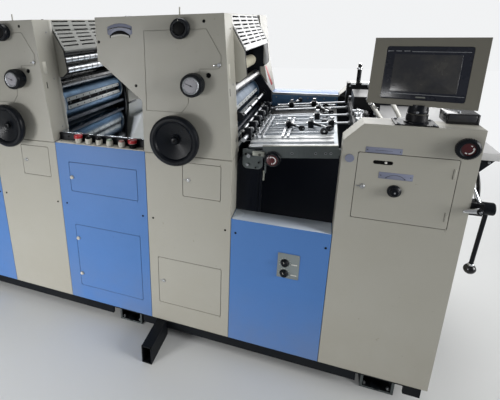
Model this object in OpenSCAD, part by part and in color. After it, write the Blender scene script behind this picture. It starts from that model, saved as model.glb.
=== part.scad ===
// Two-colour sheet-fed offset press, in millimetres.
// X runs along the machine towards the feeder, -Y faces the operator, Z is up.
// The origin is on the floor at mid-depth, in the middle of the centre foot.

/* [Layout] */
// Width of the lower cover of a printing unit
unit_w = 397; // [360:1:440]
// Distance from one printing unit to the next
unit_pitch = 890; // [850:1:960]
// From the centre foot to the right edge of the feeder-side unit
unit2_right = 540; // [500:1:580]
// Width of the open bay under the feed board
feeder_bay_w = 406; // [360:1:460]
// Width of the operator console
console_w = 416; // [380:1:460]
// Width of the bay between the delivery-side unit and the delivery
delivery_bay_w = 400; // [340:1:460]
// Width of the delivery cabinets
delivery_w = 300; // [260:1:380]
// Depth over the front and rear covers
machine_d = 1050; // [980:5:1150]

/* [Heights] */
// Top of the printing units
unit_top = 1580; // [1500:5:1700]
// Seam between the lower and upper covers
seam_z = 1002; // [960:1:1040]
// Lower edge of all panels over the floor
panel_z = 100; // [92:1:120]
// Height of the feet
foot_h = 80; // [60:1:88]
// Top of the console
console_top = 1194; // [1150:1:1240]
// Top of the delivery cabinets
delivery_top = 1128; // [1080:1:1180]
// Top of the blue panel under the feed board
feeder_panel_top = 737; // [700:1:780]
// Top of the rear housing beside the feed board
rear_bay_top = 1134; // [1090:1:1170]

/* [Covers] */
// Depth of the front covers
cover_d = 100; // [80:1:120]
// How far the upper covers stand proud of the lower ones
cover_proud = 5; // [1:0.5:10]
// Depth of the rear covers behind the far side frames
rear_cover_d = 250; // [200:5:300]
// Depth of the rear bay panels and rear cabinets
rear_bay_d = 130; // [100:1:160]
// How far the upper cover reaches over the mid bay
overhang = 205; // [170:1:230]
// Height of the upright left edge of the upper cover
overhang_h = 178; // [140:1:210]
// Height at which the slanted edge meets the lower cover's line
overhang_z = 1234; // [1190:1:1270]
// How far the right edge leans in at the top
edge_lean = 44; // [20:1:60]
// Gap of the seam between two covers
seam = 2; // [1:0.5:4]
// Chamfer width on the console
chamfer_w = 61; // [40:1:80]
// Chamfer height on the console
chamfer_h = 66; // [40:1:90]
// Chamfer along the top edge of a lower cover
cover_edge = 4; // [2:0.5:8]
// Thickness of the dark plates that line the bays
liner_t = 6; // [4:1:10]
// Height of the polished sheet over the ledge of the mid bay
sheet_lift = 39; // [25:1:60]
// Thickness of the polished sheet
sheet_t = 4; // [2:0.5:6]

/* [Frames] */
// Thickness of the cast side frames
frame_t = 30; // [20:1:40]
// Clear width between the side frames
inner_w = 640; // [560:5:720]
// How far the side frame edges stay inside the cover edges
frame_inset = 4; // [2:1:10]
// Width of the front beam of the base frame
front_beam_w = 140; // [110:1:160]
// Width of the rear beam of the base frame
rear_beam_w = 280; // [250:1:300]
// Width of the cross beams of the base frame
cross_beam_w = 80; // [60:1:120]
// How far the base beams stand back from the panels
beam_back = 14; // [8:1:30]
// How far the front face of the base stands back from the panels
skirt_back = 2; // [1:0.5:6]
// Height over the floor of its lower edge
skirt_low = 52; // [40:1:75]
// Width of a foot
foot_w = 130; // [90:1:160]
// Wall of the channel that a foot is made from
foot_wall = 10; // [6:1:16]
// Distance from the centre foot to the outer feet
foot_pitch = 1190; // [1100:5:1250]
// Width of the support tube
tube_w = 50; // [40:1:60]
// Height of the support tube
tube_h = 96; // [85:1:98]
// Wall of the support tube
tube_wall = 4; // [3:0.5:6]
// Distance from the feeder-side unit's right edge to the support tube
tube_from_unit = 345; // [300:5:380]
// How far the support tube sticks out in front
tube_out = 190; // [120:5:260]

/* [Cylinders] */
// Radius of all printing cylinders
cyl_r = 98; // [80:0.5:99]
// Radius of the cylinder journals
journal_r = 25; // [18:0.5:32]
// Clearance of a journal in its bore
journal_gap = 0.1; // [0.05:0.05:0.3]
// End clearance of a cylinder between the side frames
cyl_end = 8; // [5:1:20]
// Width of the gap along a plate or blanket cylinder
cyl_gap_w = 66; // [40:1:80]
// Depth of that gap
cyl_gap_d = 24; // [12:1:30]
// Radius of an ink roller
roller_r = 30; // [20:1:32]
// Radius of the two bright rods under the delivery-side guard
rod_r = 15; // [8:1:18]

/* [Handwheels] */
// Radius of a handwheel
wheel_r = 108; // [90:1:115]
// Thickness of its rim
wheel_rim = 34; // [24:1:40]
// Distance from the cover to the back of the rim
wheel_off = 40; // [25:1:60]
// Radius of its shaft
wheel_shaft_r = 14; // [10:1:18]

/* [Doors] */
// Thickness of a door
door_t = 3; // [3:0.5:5]
// Gap round a door
door_gap = 2; // [1.8:0.1:3]
// Depth of the space behind a door
door_recess = 30; // [15:1:45]
// Radius of a hinge pin
hinge_r = 1.3; // [1:0.1:1.3]
// Clearance of a hinge pin in its hole
hinge_gap = 0.1; // [0.05:0.05:0.3]
// Length of a hinge pin
hinge_pin = 8; // [5:1:15]
// Radius of a lock
lock_r = 8; // [5:1:10]
// Corner radius of a door
door_round = 7; // [4:0.5:10]

/* [Ink guards] */
// Thickness of a guard sheet
guard_t = 3; // [2:0.5:5]
// Length of a slot in a guard
slot_l = 128; // [90:1:140]
// Height of a slot in a guard
slot_h = 7; // [4:0.5:9]
// Columns of slots across a guard
slot_cols = 4; // [2:1:5]
// Rows of slots in the feeder-side guard
slot_rows = 8; // [5:1:8]
// Rows of slots in the delivery-side guard
slot_rows_grey = 7; // [5:1:7]

/* [Monitor] */
// Width of the monitor housing
mon_w = 320; // [280:1:360]
// Height of the monitor housing
mon_h = 226; // [200:1:250]
// Thickness of the monitor housing
mon_t = 50; // [40:1:70]
// How far the monitor leans back, in degrees
mon_tilt = 8; // [0:1:15]
// How far it is turned towards the printing units, in degrees
mon_turn = 12; // [0:1:25]
// Radius of the post under the monitor
post_r = 33; // [25:1:40]
// Height of the post's fixed part
post_h = 34; // [20:1:50]

/* [Feeder] */
// Height of the feed board over the floor at its lower end
board_z = 1042; // [1015:1:1060]
// Slope of the feed board, in degrees
board_slope = 5.5; // [2:0.5:7]
// Thickness of the feed board
board_t = 6; // [4:1:10]
// Height of the side rails of the feed board
rail_h = 44; // [30:1:50]
// Thickness of the side rails of the feed board
rail_t = 12; // [8:1:16]
// Size of the square bars across the feed board
bar_w = 10; // [6:1:14]
// How far the front rail stands back from the front plane
rail_back = 55; // [40:1:80]
// Height of the top of the feeder's pile board
pile_z = 1087; // [1075:1:1100]
// Thickness of a pile board
pile_t = 25; // [18:1:32]
// Radius of the hub of the pile lever
lever_hub_r = 22; // [20:1:32]
// Length of the pile lever's arm
lever_arm = 254; // [180:1:270]
// How far the pile lever's arm hangs out of plumb, in degrees
lever_lean = 5; // [0:0.5:10]
// Height of the pile lever's axis over the floor
lever_z = 919; // [890:1:960]

/* [Hidden] */
$fn = 64;
over = 1;

y_front = -machine_d / 2;
y_rear = machine_d / 2;
cover_face = y_front - cover_proud;
frame1_y = y_front + cover_d;
inner1_y = frame1_y + frame_t;
inner2_y = inner1_y + inner_w;
frame2_y = inner2_y + frame_t;
cyl_len = inner_w - 2 * cyl_end;
bay_rear_y = y_rear - rear_bay_d;
wall_y = bay_rear_y - liner_t;

unit1_right = unit2_right - unit_pitch;
mid_left = unit1_right;
mid_right = unit2_right - unit_w;
feeder_left = unit2_right;
console_left = unit2_right + feeder_bay_w;
console_right = console_left + console_w;
bay1_right = unit1_right - unit_w;
bay1_left = bay1_right - delivery_bay_w;
delivery_left = bay1_left - delivery_w;

// Cylinder centres from a unit's right edge: across and height over the floor
plate_at = [-118, seam_z + 150];
blanket_at = [-150, seam_z - 52];
impression_at = [-215, seam_z - 250];
CYLINDERS = [plate_at, blanket_at, impression_at];
plate_angle = 5;
blanket_angle = 12;
// Ink rollers: across, height over the seam and radius
ROLLERS = [
    [-45, seam_z + 263, roller_r - 6], [-158, seam_z + 277, roller_r], [-78, seam_z + 338, roller_r],
    [-186, seam_z + 360, roller_r], [-112, seam_z + 410, roller_r], [-222, seam_z + 438, roller_r],
    [-150, seam_z + 498, roller_r + 12]
];
// Bright rods below the delivery-side guard: across and height
RODS = [[-6, seam_z + 384], [4, seam_z + 334]];
// Thin bars below the plate cylinder
wash_bar_at = [-28, seam_z + 73];
wash_bar_r = 10;
sheet_bar_at = [4, seam_z + 153];
sheet_bar_r = 7;
// Guard outline from the top down: across and height
GUARD = [[-52, unit_top - 4], [-36, unit_top - 54], [16, unit_top - 146]];
roller_shaft_r = 9.7;
roller_shaft_gap = 0.3;
// The ears inside the side frames that carry the guard and the rods
ear_t = 6;
EAR = [GUARD[0] - [guard_t, 6], GUARD[1] - [guard_t, 0], GUARD[2] - [guard_t, 1],
       RODS[1] + [20, -6], RODS[1] + [-10, -32], RODS[1] + [-64, -32], [-70, unit_top - 80]];
BAR_EAR = [sheet_bar_at + [-34, -25], sheet_bar_at + [-34, 30], sheet_bar_at + [2, 20],
           sheet_bar_at + [13, 7], sheet_bar_at + [13, -7], sheet_bar_at + [2, -16]];

wheel_at = [-232, seam_z + 82];
top_knob_at = [-211, unit_top - 52];
top_knob_r = 39;
top_knob_h = 36;
dial_knob_at = [-158, seam_z + 312];
dial_knob_r = 46;
dial_knob_h = 58;
knob_shaft_r = 8;
knob_shaft_in = 28;
knob_gap = 1;

// A box given by its lowest and highest corners
module block(a, b) {
    translate(a) cube(b - a);
}

// A round bar along Y, from y0 to y1, at x and z
module bar_y(x, z, r, y0, y1) {
    translate([x, y0, z]) rotate([-90, 0, 0]) cylinder(r = r, h = y1 - y0);
}

// A round bar along X, from x0 to x1, at y and z
module bar_x(y, z, r, x0, x1) {
    translate([x0, y, z]) rotate([0, 90, 0]) cylinder(r = r, h = x1 - x0);
}

// A round bar standing from z0 to z1
module post(x, y, r, z0, z1) {
    translate([x, y, z0]) cylinder(r = r, h = z1 - z0);
}

// An outline in X and Z given a depth from y0 to y1
module slab_y(points, y0, y1) {
    translate([0, y1, 0]) rotate([90, 0, 0]) linear_extrude(y1 - y0) polygon(points);
}

// An upright plate with round corners: lower left corner, width, height, and depth from y0 to y1
module round_slab(x, z, w, h, r, y0, y1) {
    block([x + r, y0, z], [x + w - r, y1, z + h]);
    block([x, y0, z + r], [x + w, y1, z + h - r]);
    for (i = [r, w - r], j = [r, h - r])
        bar_y(x + i, z + j, r, y0, y1);
}

// A small round hole of depth d drilled in from the face y
module front_hole(x, z, r, y, d) {
    bar_y(x, z, r, y - over, y + d);
}

// Outline of a unit's upper cover from a unit's right edge
upper_outline = [
    [0, seam_z + seam], [-edge_lean, unit_top], [-unit_w - overhang, unit_top],
    [-unit_w - overhang, unit_top - overhang_h], [-unit_w, overhang_z],
    [-unit_w, seam_z + seam]
];

// Outline of a side frame, from the base to the top, drawn in by e
function frame_outline(e) = [
    [-e, panel_z], [-e, seam_z], [-edge_lean - e, unit_top - e],
    [-unit_w - overhang + e, unit_top - e], [-unit_w - overhang + e, unit_top - overhang_h],
    [-unit_w + e, overhang_z], [-unit_w + e, panel_z]
];

// The rear edge of a unit flares out towards the low rear housing
flare_w = 33;
flare_z = rear_bay_top + seam;
rear_outline = [
    [0, panel_z], [0, flare_z], [flare_w, flare_z], [-5, flare_z + 176], [-edge_lean, unit_top],
    [-unit_w - overhang, unit_top], [-unit_w - overhang, unit_top - overhang_h],
    [-unit_w, overhang_z], [-unit_w, panel_z]
];

// The far side frame reaches out over the end of the feed board
flare_out = flare_w + 15;
flare_root = -frame_inset - 36;
frame_flare = [
    [flare_root, seam_z + 260], [-frame_inset - 19, seam_z + 260], [flare_out, seam_z + 163],
    [flare_out, seam_z + 100], [flare_root, seam_z + 100]
];

// The unit normal to the right of the way from p to q
function normal(p, q) = [q[1] - p[1], p[0] - q[0]] / norm(q - p);

// A closed outline, drawn clockwise, moved inwards by d
function inset(points, d) = let (n = len(points)) [
    for (i = [0 : n - 1])
        let (a = normal(points[(i + n - 1) % n], points[i]), b = normal(points[i], points[(i + 1) % n]))
            points[i] + d * (a + b) / (1 + a * b)
];

// A seam as wide and deep as the others in the front plane, along a closed outline
module seam_groove(x, points) {
    translate([x, cover_face + seam, 0]) rotate([90, 0, 0]) linear_extrude(seam + over) difference() {
        polygon(points);
        polygon(inset(points, seam));
    }
}

// Doors: left edge, lower edge, width and height in the front plane
small_door = [-218, seam_z - 190, 170, 158];
lower_door = [-351, panel_z + 110, 312, 258];
mid_upper = [72, seam_z - 250, 372, 154];
mid_lower = [72, panel_z + 90, 372, 370];
console_panel = [55, console_top - 366, 307, 259];
lock_in = 26;
blue_lock_in = 11;

// The space behind a door whose edges are given, with its pin holes.
// Its corners are tighter than the door's, so the door's corners swing clear
module door_pocket(x, d) {
    g = door_gap;
    round_slab(x + d[0] - g, d[1] - g, d[2] + 2 * g, d[3] + 2 * g, door_round - 2,
        y_front - over, y_front + door_recess);
    post(x + d[0] + d[2] - door_t / 2, y_front + door_t / 2, hinge_r + hinge_gap,
        d[1] - g - hinge_pin, d[1] + d[3] + g + hinge_pin, $fn = 24);
}

// A door with its hinge pins along the right edge and its locks on the left,
// each given across and up from the door's lower left corner
module door(x, d, locks) {
    round_slab(x + d[0], d[1], d[2], d[3], door_round, y_front, y_front + door_t);
    pin_reach = door_gap + hinge_pin - 1;
    post(x + d[0] + d[2] - door_t / 2, y_front + door_t / 2, hinge_r,
        d[1] - pin_reach, d[1] + d[3] + pin_reach, $fn = 24);
    for (l = locks)
        bar_y(x + d[0] + l[0], d[1] + l[1], lock_r, y_front - 3, y_front + 12);
}

// The arched slot over the mid bay: centre, outer and inner radius
arch_at = [-493, unit_top - 102];
arch_r = 55;
arch_w = 12;

// Shared by both units: the front upper cover
module upper_cover(x) {
    color("#b9b5a8") {
        difference() {
            translate([x, 0, 0]) slab_y(upper_outline, cover_face, frame1_y);
            bar_y(x + wheel_at[0], wheel_at[1], wheel_shaft_r + journal_gap,
                cover_face - over, frame1_y + over);
            for (k = [top_knob_at, dial_knob_at])
                front_hole(x + k[0], k[1], knob_shaft_r + journal_gap, cover_face, knob_shaft_in + 2);
            front_hole(x - 122, unit_top - 27, 5, cover_face, 12);
            front_hole(x - 102, seam_z + 347, 9, cover_face, 12);
            front_hole(x - 590, unit_top - 100, 5, cover_face, 12);
            front_hole(x - 422, seam_z + 296, 5, cover_face, 12);
            seam_groove(x, [[-376, unit_top - 57], [-112, unit_top - 54], [-52, seam_z + 424],
                [-52, seam_z + 385], [-61, seam_z + 372], [-139, seam_z + 370], [-139, seam_z + 338],
                [-185, seam_z + 255], [-187, seam_z + 227], [-216, seam_z + 190], [-378, seam_z + 191]]);
            intersection() {
                difference() {
                    front_hole(x + arch_at[0], arch_at[1], arch_r, cover_face, 14);
                    front_hole(x + arch_at[0], arch_at[1], arch_r - arch_w, cover_face, 15);
                }
                block([x + arch_at[0] - arch_r, cover_face - over, arch_at[1] + 29],
                      [x + arch_at[0] + arch_r, frame1_y, unit_top]);
            }
        }
        bar_y(x - 60, seam_z + 388, 7, cover_face - 5, cover_face + over);
    }
}

module unit1_upper_cover() upper_cover(unit1_right);
module unit2_upper_cover() upper_cover(unit2_right);

// A lower cover with a bevelled top edge; the children are cut out of it
module lower_cover(x) {
    color("#b9b5a8") difference() {
        translate([x - unit_w, 0, 0]) rotate([90, 0, 90]) linear_extrude(unit_w) polygon([
            [y_front, panel_z], [frame1_y, panel_z], [frame1_y, seam_z],
            [y_front + cover_edge, seam_z], [y_front, seam_z - cover_edge]]);
        children();
    }
}

module unit1_lower_cover() {
    lower_cover(unit1_right) {
        door_pocket(unit1_right, small_door);
    }
}

module unit2_lower_cover() {
    lower_cover(unit2_right) {
        door_pocket(unit2_right, small_door);
        door_pocket(unit2_right, lower_door);
    }
}

module unit1_small_door() color("#b9b5a8") door(unit1_right, small_door, [[lock_in, small_door[3] / 2]]);
module unit2_small_door() color("#b9b5a8") door(unit2_right, small_door, [[lock_in, small_door[3] / 2]]);
module unit2_lower_door() color("#b9b5a8") door(unit2_right, lower_door, [[lock_in, lower_door[3] / 2]]);
module mid_upper_door() color("#5b93cf") door(mid_left, mid_upper, [[blue_lock_in, 75]]);
module mid_lower_door() color("#5b93cf")
    door(mid_left, mid_lower, [[blue_lock_in, 76], [blue_lock_in, 292]]);

// The four frame plates with their ears, the dark cross plates and the dark lining of the feeder
cross_plate_in = 12;
module side_frames() {
    color("#2b2d33") {
        for (x = [unit1_right, unit2_right], y = [frame1_y, inner2_y]) {
            difference() {
                union() {
                    translate([x, 0, 0]) slab_y(frame_outline(frame_inset), y, y + frame_t);
                    if (x == unit2_right && y == inner2_y)
                        translate([x, 0, 0]) slab_y(frame_flare, y, y + frame_t);
                }
                for (c = CYLINDERS)
                    bar_y(x + c[0], c[1], journal_r + journal_gap, y - over, y + frame_t + over);
                if (y == frame1_y)
                    bar_y(x + wheel_at[0], wheel_at[1], wheel_shaft_r + journal_gap,
                        y - over, y + frame_t + over);
                for (c = ROLLERS)
                    bar_y(x + c[0], c[1], roller_shaft_r + roller_shaft_gap, y - over, y + frame_t + over);
            }
        }
        for (x = [unit1_right, unit2_right], y = [inner1_y, inner2_y - ear_t])
            translate([x, 0, 0]) slab_y(EAR, y, y + ear_t);
        for (y = [inner1_y, inner2_y - ear_t])
            translate([unit2_right, 0, 0]) slab_y(BAR_EAR, y, y + ear_t);
        for (x = [unit1_right, unit2_right])
            block([x - cross_plate_in, inner1_y - over, panel_z],
                  [x - cross_plate_in + liner_t, inner2_y + over, seam_z - 60]);
        slab_y([[feeder_left + seam, panel_z], [console_right - seam, panel_z],
            [console_right - seam, console_top - seam], [console_left + chamfer_w + seam, console_top - seam],
            [console_left + seam, console_top - chamfer_h], [console_left - seam, rear_bay_top - 10],
            [feeder_left + seam, rear_bay_top - 10]], wall_y, bay_rear_y);
        for (y = [y_front + 44, bay_rear_y + 10])
            block([mid_left + seam, y, seam_z], [mid_right - seam, y + 14, seam_z + sheet_lift]);
    }
}

module rear_covers() {
    color("#b9b5a8") for (x = [unit1_right, unit2_right])
        difference() {
            translate([x, 0, 0]) slab_y(rear_outline, frame2_y, y_rear);
            block([x - unit_w - over, y_rear - seam, seam_z], [x + over, y_rear + over, seam_z + seam]);
        }
}

lid_t = 4;
stud_r = 3;
module top_covers() {
    color("#d8d6cc") for (x = [unit1_right, unit2_right]) {
        block([x - unit_w - overhang, frame1_y, unit_top - frame_inset],
              [x - edge_lean - 10, frame2_y, unit_top - frame_inset + lid_t]);
        post(x - 262, frame1_y + 12, stud_r, unit_top - over, unit_top + 32);
    }
}

// A slotted sheet that follows the guard outline between the side frames.
// s runs down the sheet from its upper bend; rows are spaced by pitch from first
module ink_guard(x, rows, first, pitch, lip) {
    upper = GUARD[0] - GUARD[1];
    lower = GUARD[2] - GUARD[1];
    u = upper / norm(upper);
    v = lower / norm(lower);
    col_pitch = inner_w / slot_cols;
    translate([x, 0, 0]) {
        difference() {
            slab_y([GUARD[0], GUARD[1], GUARD[2], GUARD[2] + [-guard_t, -1], GUARD[1] + [-guard_t, 0],
                    GUARD[0] + [-guard_t, 0]], inner1_y, inner2_y);
            for (j = [0 : slot_cols - 1], i = [0 : rows - 1]) {
                s = first + i * pitch;
                d = s < 0 ? -u : v;
                p = GUARD[1] + (s < 0 ? -s * u : s * v);
                translate([p[0], inner1_y + (j + 0.5) * col_pitch, p[1]])
                    rotate([0, -atan2(d[0], -d[1]), 0])
                        cube([5 * guard_t, slot_l, slot_h], center = true);
            }
        }
        if (lip > 0)
            bar_y(GUARD[2][0] - lip + 1, GUARD[2][1] - lip + 2, lip,
                inner1_y + ear_t + seam, inner2_y - ear_t - seam);
    }
}

module unit1_ink_guard() color("#8d8f90") ink_guard(unit1_right, slot_rows_grey, -48, 21.5, 6);
module unit2_ink_guard() color("#e8e8e6") ink_guard(unit2_right, slot_rows, -45, 17.5, 0);

module ink_rollers() {
    color("#3a3c40") for (x = [unit1_right, unit2_right], c = ROLLERS) {
        bar_y(x + c[0], c[1], c[2], inner1_y + cyl_end, inner2_y - cyl_end);
        bar_y(x + c[0], c[1], roller_shaft_r, frame1_y + 4, frame2_y - 4);
    }
    color("#c9ccd0") {
        for (c = RODS)
            bar_y(unit1_right + c[0], c[1], rod_r, inner1_y + ear_t, inner2_y - ear_t);
        for (x = [unit1_right, unit2_right])
            bar_y(x + wash_bar_at[0], wash_bar_at[1], wash_bar_r, inner1_y, inner2_y);
        bar_y(unit2_right + sheet_bar_at[0], sheet_bar_at[1], sheet_bar_r,
            inner1_y + ear_t, inner2_y - ear_t);
    }
}

// A printing cylinder with its journals; gap cuts the clamping gap at angle a
bar_margin = 26;
clamp_bar_w = 18;
module press_cylinder(x, c, gap, a) {
    y0 = inner1_y + cyl_end;
    translate([x + c[0], 0, c[1]]) {
        difference() {
            bar_y(0, 0, cyl_r, y0, y0 + cyl_len);
            if (gap)
                rotate([0, -a, 0])
                    block([cyl_r - cyl_gap_d, y0 + bar_margin, -cyl_gap_w / 2],
                          [cyl_r + over, y0 + cyl_len - bar_margin, cyl_gap_w / 2]);
        }
        if (gap)
            rotate([0, -a, 0])
                for (s = [-1, 1])
                    translate([0, 0, s * (cyl_gap_w - clamp_bar_w - 6) / 2])
                        block([cyl_r - cyl_gap_d - over, y0 + bar_margin + 8, -clamp_bar_w / 2],
                              [cyl_r - 8, y0 + cyl_len - bar_margin - 8, clamp_bar_w / 2]);
        bar_y(0, 0, journal_r, frame1_y + 4, frame2_y - 4);
    }
}

module unit1_plate_cylinder() color("#5d7387") press_cylinder(unit1_right, plate_at, true, plate_angle);
module unit2_plate_cylinder() color("#5d7387") press_cylinder(unit2_right, plate_at, true, plate_angle);
module unit1_blanket_cylinder() color("#4a5560") press_cylinder(unit1_right, blanket_at, true, blanket_angle);
module unit2_blanket_cylinder() color("#4a5560") press_cylinder(unit2_right, blanket_at, true, blanket_angle);
module unit1_impression_cylinder() color("#a5a8ab") press_cylinder(unit1_right, impression_at, false, 0);
module unit2_impression_cylinder() color("#a5a8ab") press_cylinder(unit2_right, impression_at, false, 0);

// Dished wheel with a round rim and a cone that falls in to a small hub, turned about Y
wheel_hub_r = 24;
module handwheel(x) {
    r = wheel_r;
    t = wheel_off + wheel_rim;
    color("#17181b") translate([x + wheel_at[0], cover_face, wheel_at[1]]) rotate([90, 0, 0]) {
        rotate_extrude($fn = 96) polygon([
            [0, wheel_off - 10], [wheel_hub_r + 8, wheel_off - 8], [r - 26, wheel_off],
            [r - 10, wheel_off - 4],
            [r - 3, wheel_off + 2], [r, wheel_off + 11], [r, t - 13], [r - 3, t - 5], [r - 10, t],
            [r - 19, t], [r - 26, t - 5], [r - 30, t - 12], [20, wheel_off + 3], [16, wheel_off + 6],
            [14, wheel_off + 12], [0, wheel_off + 13]]);
        translate([0, 0, -cover_d - cover_proud - frame_t + 4])
            cylinder(r = wheel_shaft_r, h = cover_d + cover_proud + frame_t + wheel_off - 6);
        translate([0, 0, 3]) cylinder(r = wheel_hub_r, h = wheel_off - 8);
    }
}

module unit1_handwheel() handwheel(unit1_right);
module unit2_handwheel() handwheel(unit2_right);

// A knob on a short shaft that turns in the cover; face is the radius of its sunk face
module knob(x, at, r, h, face) {
    color("#17181b") translate([x + at[0], cover_face, at[1]]) rotate([90, 0, 0]) {
        translate([0, 0, knob_gap]) rotate_extrude($fn = 64) polygon([
            [0, 0], [r - 5, 0], [r - 3, 5], [r - 3, 10], [r, 14], [r, h - 7], [r - 2, h - 2],
            [r - 6, h], [face, h], [face - 2, h - 3], [0, h - 3]]);
        translate([0, 0, -knob_shaft_in]) cylinder(r = knob_shaft_r, h = knob_shaft_in + 2);
    }
}

module unit1_top_knob() knob(unit1_right, top_knob_at, top_knob_r, top_knob_h, 26);
module unit2_top_knob() knob(unit2_right, top_knob_at, top_knob_r, top_knob_h, 26);
module unit1_dial_knob() knob(unit1_right, dial_knob_at, dial_knob_r, dial_knob_h, 36);
module unit2_dial_knob() knob(unit2_right, dial_knob_at, dial_knob_r, dial_knob_h, 36);

base_in = 20;
tube_x = unit2_right - tube_from_unit;
// The front face of the base leaves room for the feet and the support tube
skirt_gap = foot_w / 2 + 25;
SKIRTS = [
    [delivery_left + base_in, -foot_pitch - skirt_gap], [skirt_gap - foot_pitch, -skirt_gap],
    [skirt_gap, tube_x - tube_w / 2 - 1], [tube_x + tube_w / 2 + 1, foot_pitch - skirt_gap],
    [foot_pitch + skirt_gap, console_right - base_in]
];
module base_frame() {
    x0 = delivery_left + base_in;
    x1 = console_right - base_in;
    color("#3a3c3e") union() {
        block([x0, y_front + beam_back, foot_h], [x1, y_front + beam_back + front_beam_w, panel_z]);
        block([x0, y_rear - beam_back - rear_beam_w, foot_h], [x1, y_rear - beam_back, panel_z]);
        for (x = [x0, -cross_beam_w / 2, x1 - cross_beam_w])
            block([x, y_front + beam_back, foot_h], [x + cross_beam_w, y_rear - beam_back, panel_z]);
        for (s = SKIRTS)
            block([s[0], y_front + skirt_back, skirt_low], [s[1], y_front + beam_back + over, panel_z]);
    }
}

foot_back = 30;
module transverse_feet() {
    color("#3f4244") for (x = [-foot_pitch, 0, foot_pitch])
        difference() {
            block([x - foot_w / 2, y_front + foot_back, 0], [x + foot_w / 2, y_rear - foot_back, foot_h]);
            block([x - foot_w / 2 + foot_wall, y_front, foot_wall],
                  [x + foot_w / 2 - foot_wall, y_rear, foot_h - foot_wall]);
        }
}

module support_tube() {
    x = tube_x;
    w = tube_w / 2;
    color("#3f4244") difference() {
        block([x - w, y_front - tube_out, 0], [x + w, y_front + beam_back, tube_h]);
        block([x - w + tube_wall, y_front - tube_out - over, tube_wall],
              [x + w - tube_wall, y_front + beam_back + over, tube_h - tube_wall]);
    }
}

module mid_panel() {
    color("#5b93cf") difference() {
        block([mid_left + seam, y_front, panel_z], [mid_right - seam, frame1_y, seam_z]);
        door_pocket(mid_left, mid_upper);
        door_pocket(mid_left, mid_lower);
    }
}

// The dial plate on the panel under the feed board, with its two knobs
dial_plate = [205, panel_z + 397, 90, 120];
DIALS = [[236, panel_z + 472], [235, panel_z + 421]];
module bay_panels() {
    color("#5b93cf") {
        block([feeder_left + seam, y_front, panel_z], [console_left - seam, frame1_y, feeder_panel_top]);
        block([bay1_left + seam, y_front, panel_z], [bay1_right - seam, frame1_y, seam_z]);
        round_slab(feeder_left + dial_plate[0], dial_plate[1], dial_plate[2], dial_plate[3], 5,
            y_front - 2, y_front + over);
        for (d = DIALS)
            bar_y(feeder_left + d[0], d[1], 13, y_front - 16, y_front + over);
    }
}

module rear_panels() {
    color("#5b93cf") {
        block([mid_left + seam, bay_rear_y, panel_z], [mid_right - seam, y_rear, seam_z]);
        block([feeder_left + seam, bay_rear_y, panel_z], [console_left - seam, y_rear, rear_bay_top]);
        block([bay1_left + seam, bay_rear_y, panel_z], [bay1_right - seam, y_rear, seam_z]);
    }
}

// Buttons on the ledge from its left end: across, head radius and head height
BUTTONS = [[127, 20, 12], [184, 12, 8], [243, 12, 8], [300, 12, 6], [364, 12, 6], [421, 20, 14]];
ledge_t = 4;
button_base_h = 24;
module button_ledge() {
    color("#d5d2c6") {
        block([mid_left + 8, y_front + 2, seam_z], [mid_right - 4, y_front + 42, seam_z + ledge_t]);
        for (b = BUTTONS) {
            base_z = seam_z + ledge_t + button_base_h;
            post(mid_left + b[0], y_front + 22, 15, seam_z + ledge_t - over, base_z);
            post(mid_left + b[0], y_front + 22, b[1], base_z - over, base_z + b[2]);
        }
    }
}

// A polished sheet that lies level over the mid bay and reaches under the plate cylinder
sheet_tongue = 20;
module sheet_plate() {
    z = seam_z + sheet_lift;
    color("#d0d3d6") {
        block([mid_left + seam, y_front + 50, z], [mid_right - seam, bay_rear_y + 24, z + sheet_t]);
        block([mid_left - sheet_tongue, inner1_y + seam, z],
              [mid_left + seam + over, inner2_y - seam, z + sheet_t]);
    }
}

function console_outline(l, r, top, s) = [
    [l, panel_z], [r, panel_z], [r, top - (s < 0 ? chamfer_h : 0)], [r - (s < 0 ? chamfer_w : 0), top],
    [l + (s > 0 ? chamfer_w : 0), top], [l, top - (s > 0 ? chamfer_h : 0)]
];

// The large knob and the round disc on the console, from its left edge and its top
console_knob = [370, console_top - 60, 34];
console_disc = [27, console_top - 133, 15];
module operator_console() {
    color("#b9b5a8") {
        difference() {
            slab_y(console_outline(console_left, console_right, console_top, 1), y_front, frame1_y);
            door_pocket(console_left, console_panel);
        }
        translate([console_left + console_knob[0], y_front + over, console_knob[1]]) rotate([90, 0, 0])
            rotate_extrude() polygon([
                [0, 0], [console_knob[2] - 6, 0], [console_knob[2], 10], [console_knob[2], 22],
                [console_knob[2] - 5, 27], [console_knob[2] - 10, 27], [console_knob[2] - 13, 22], [0, 22]]);
        bar_y(console_left + console_disc[0], console_disc[1], console_disc[2], y_front - 2, y_front + over);
    }
}

// The slot and the knob of the console door, from the console's left edge and its top
door_slot = [105, console_top - 146, 63, 14, 6.5];
door_knob = [184, console_top - 242, 22];
module console_door() {
    color("#b9b5a8") {
        difference() {
            door(console_left, console_panel, [[lock_in, console_panel[3] / 2]]);
            round_slab(console_left + door_slot[0], door_slot[1], door_slot[2], door_slot[3], door_slot[4],
                y_front - over, y_front + door_t + over);
        }
        translate([console_left + door_knob[0], y_front + over, door_knob[1]]) rotate([90, 0, 0])
            rotate_extrude() polygon([
                [0, 0], [door_knob[2], 0], [door_knob[2], 8], [door_knob[2] - 6, 12], [door_knob[2] - 8, 20],
                [door_knob[2] - 10, 22], [0, 22]]);
    }
}

module feeder_rear_cabinet() {
    color("#b9b5a8")
        slab_y(console_outline(console_left, console_right, console_top, 1), bay_rear_y, y_rear);
}

module delivery_cabinets() {
    color("#b9b5a8") {
        slab_y(console_outline(delivery_left, bay1_left, delivery_top, -1), y_front, frame1_y);
        slab_y(console_outline(delivery_left, bay1_left, delivery_top, -1), bay_rear_y, y_rear);
    }
}

mon_x = console_left + 226;
mon_y = y_front + 52;
mon_lift = 26;
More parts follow.
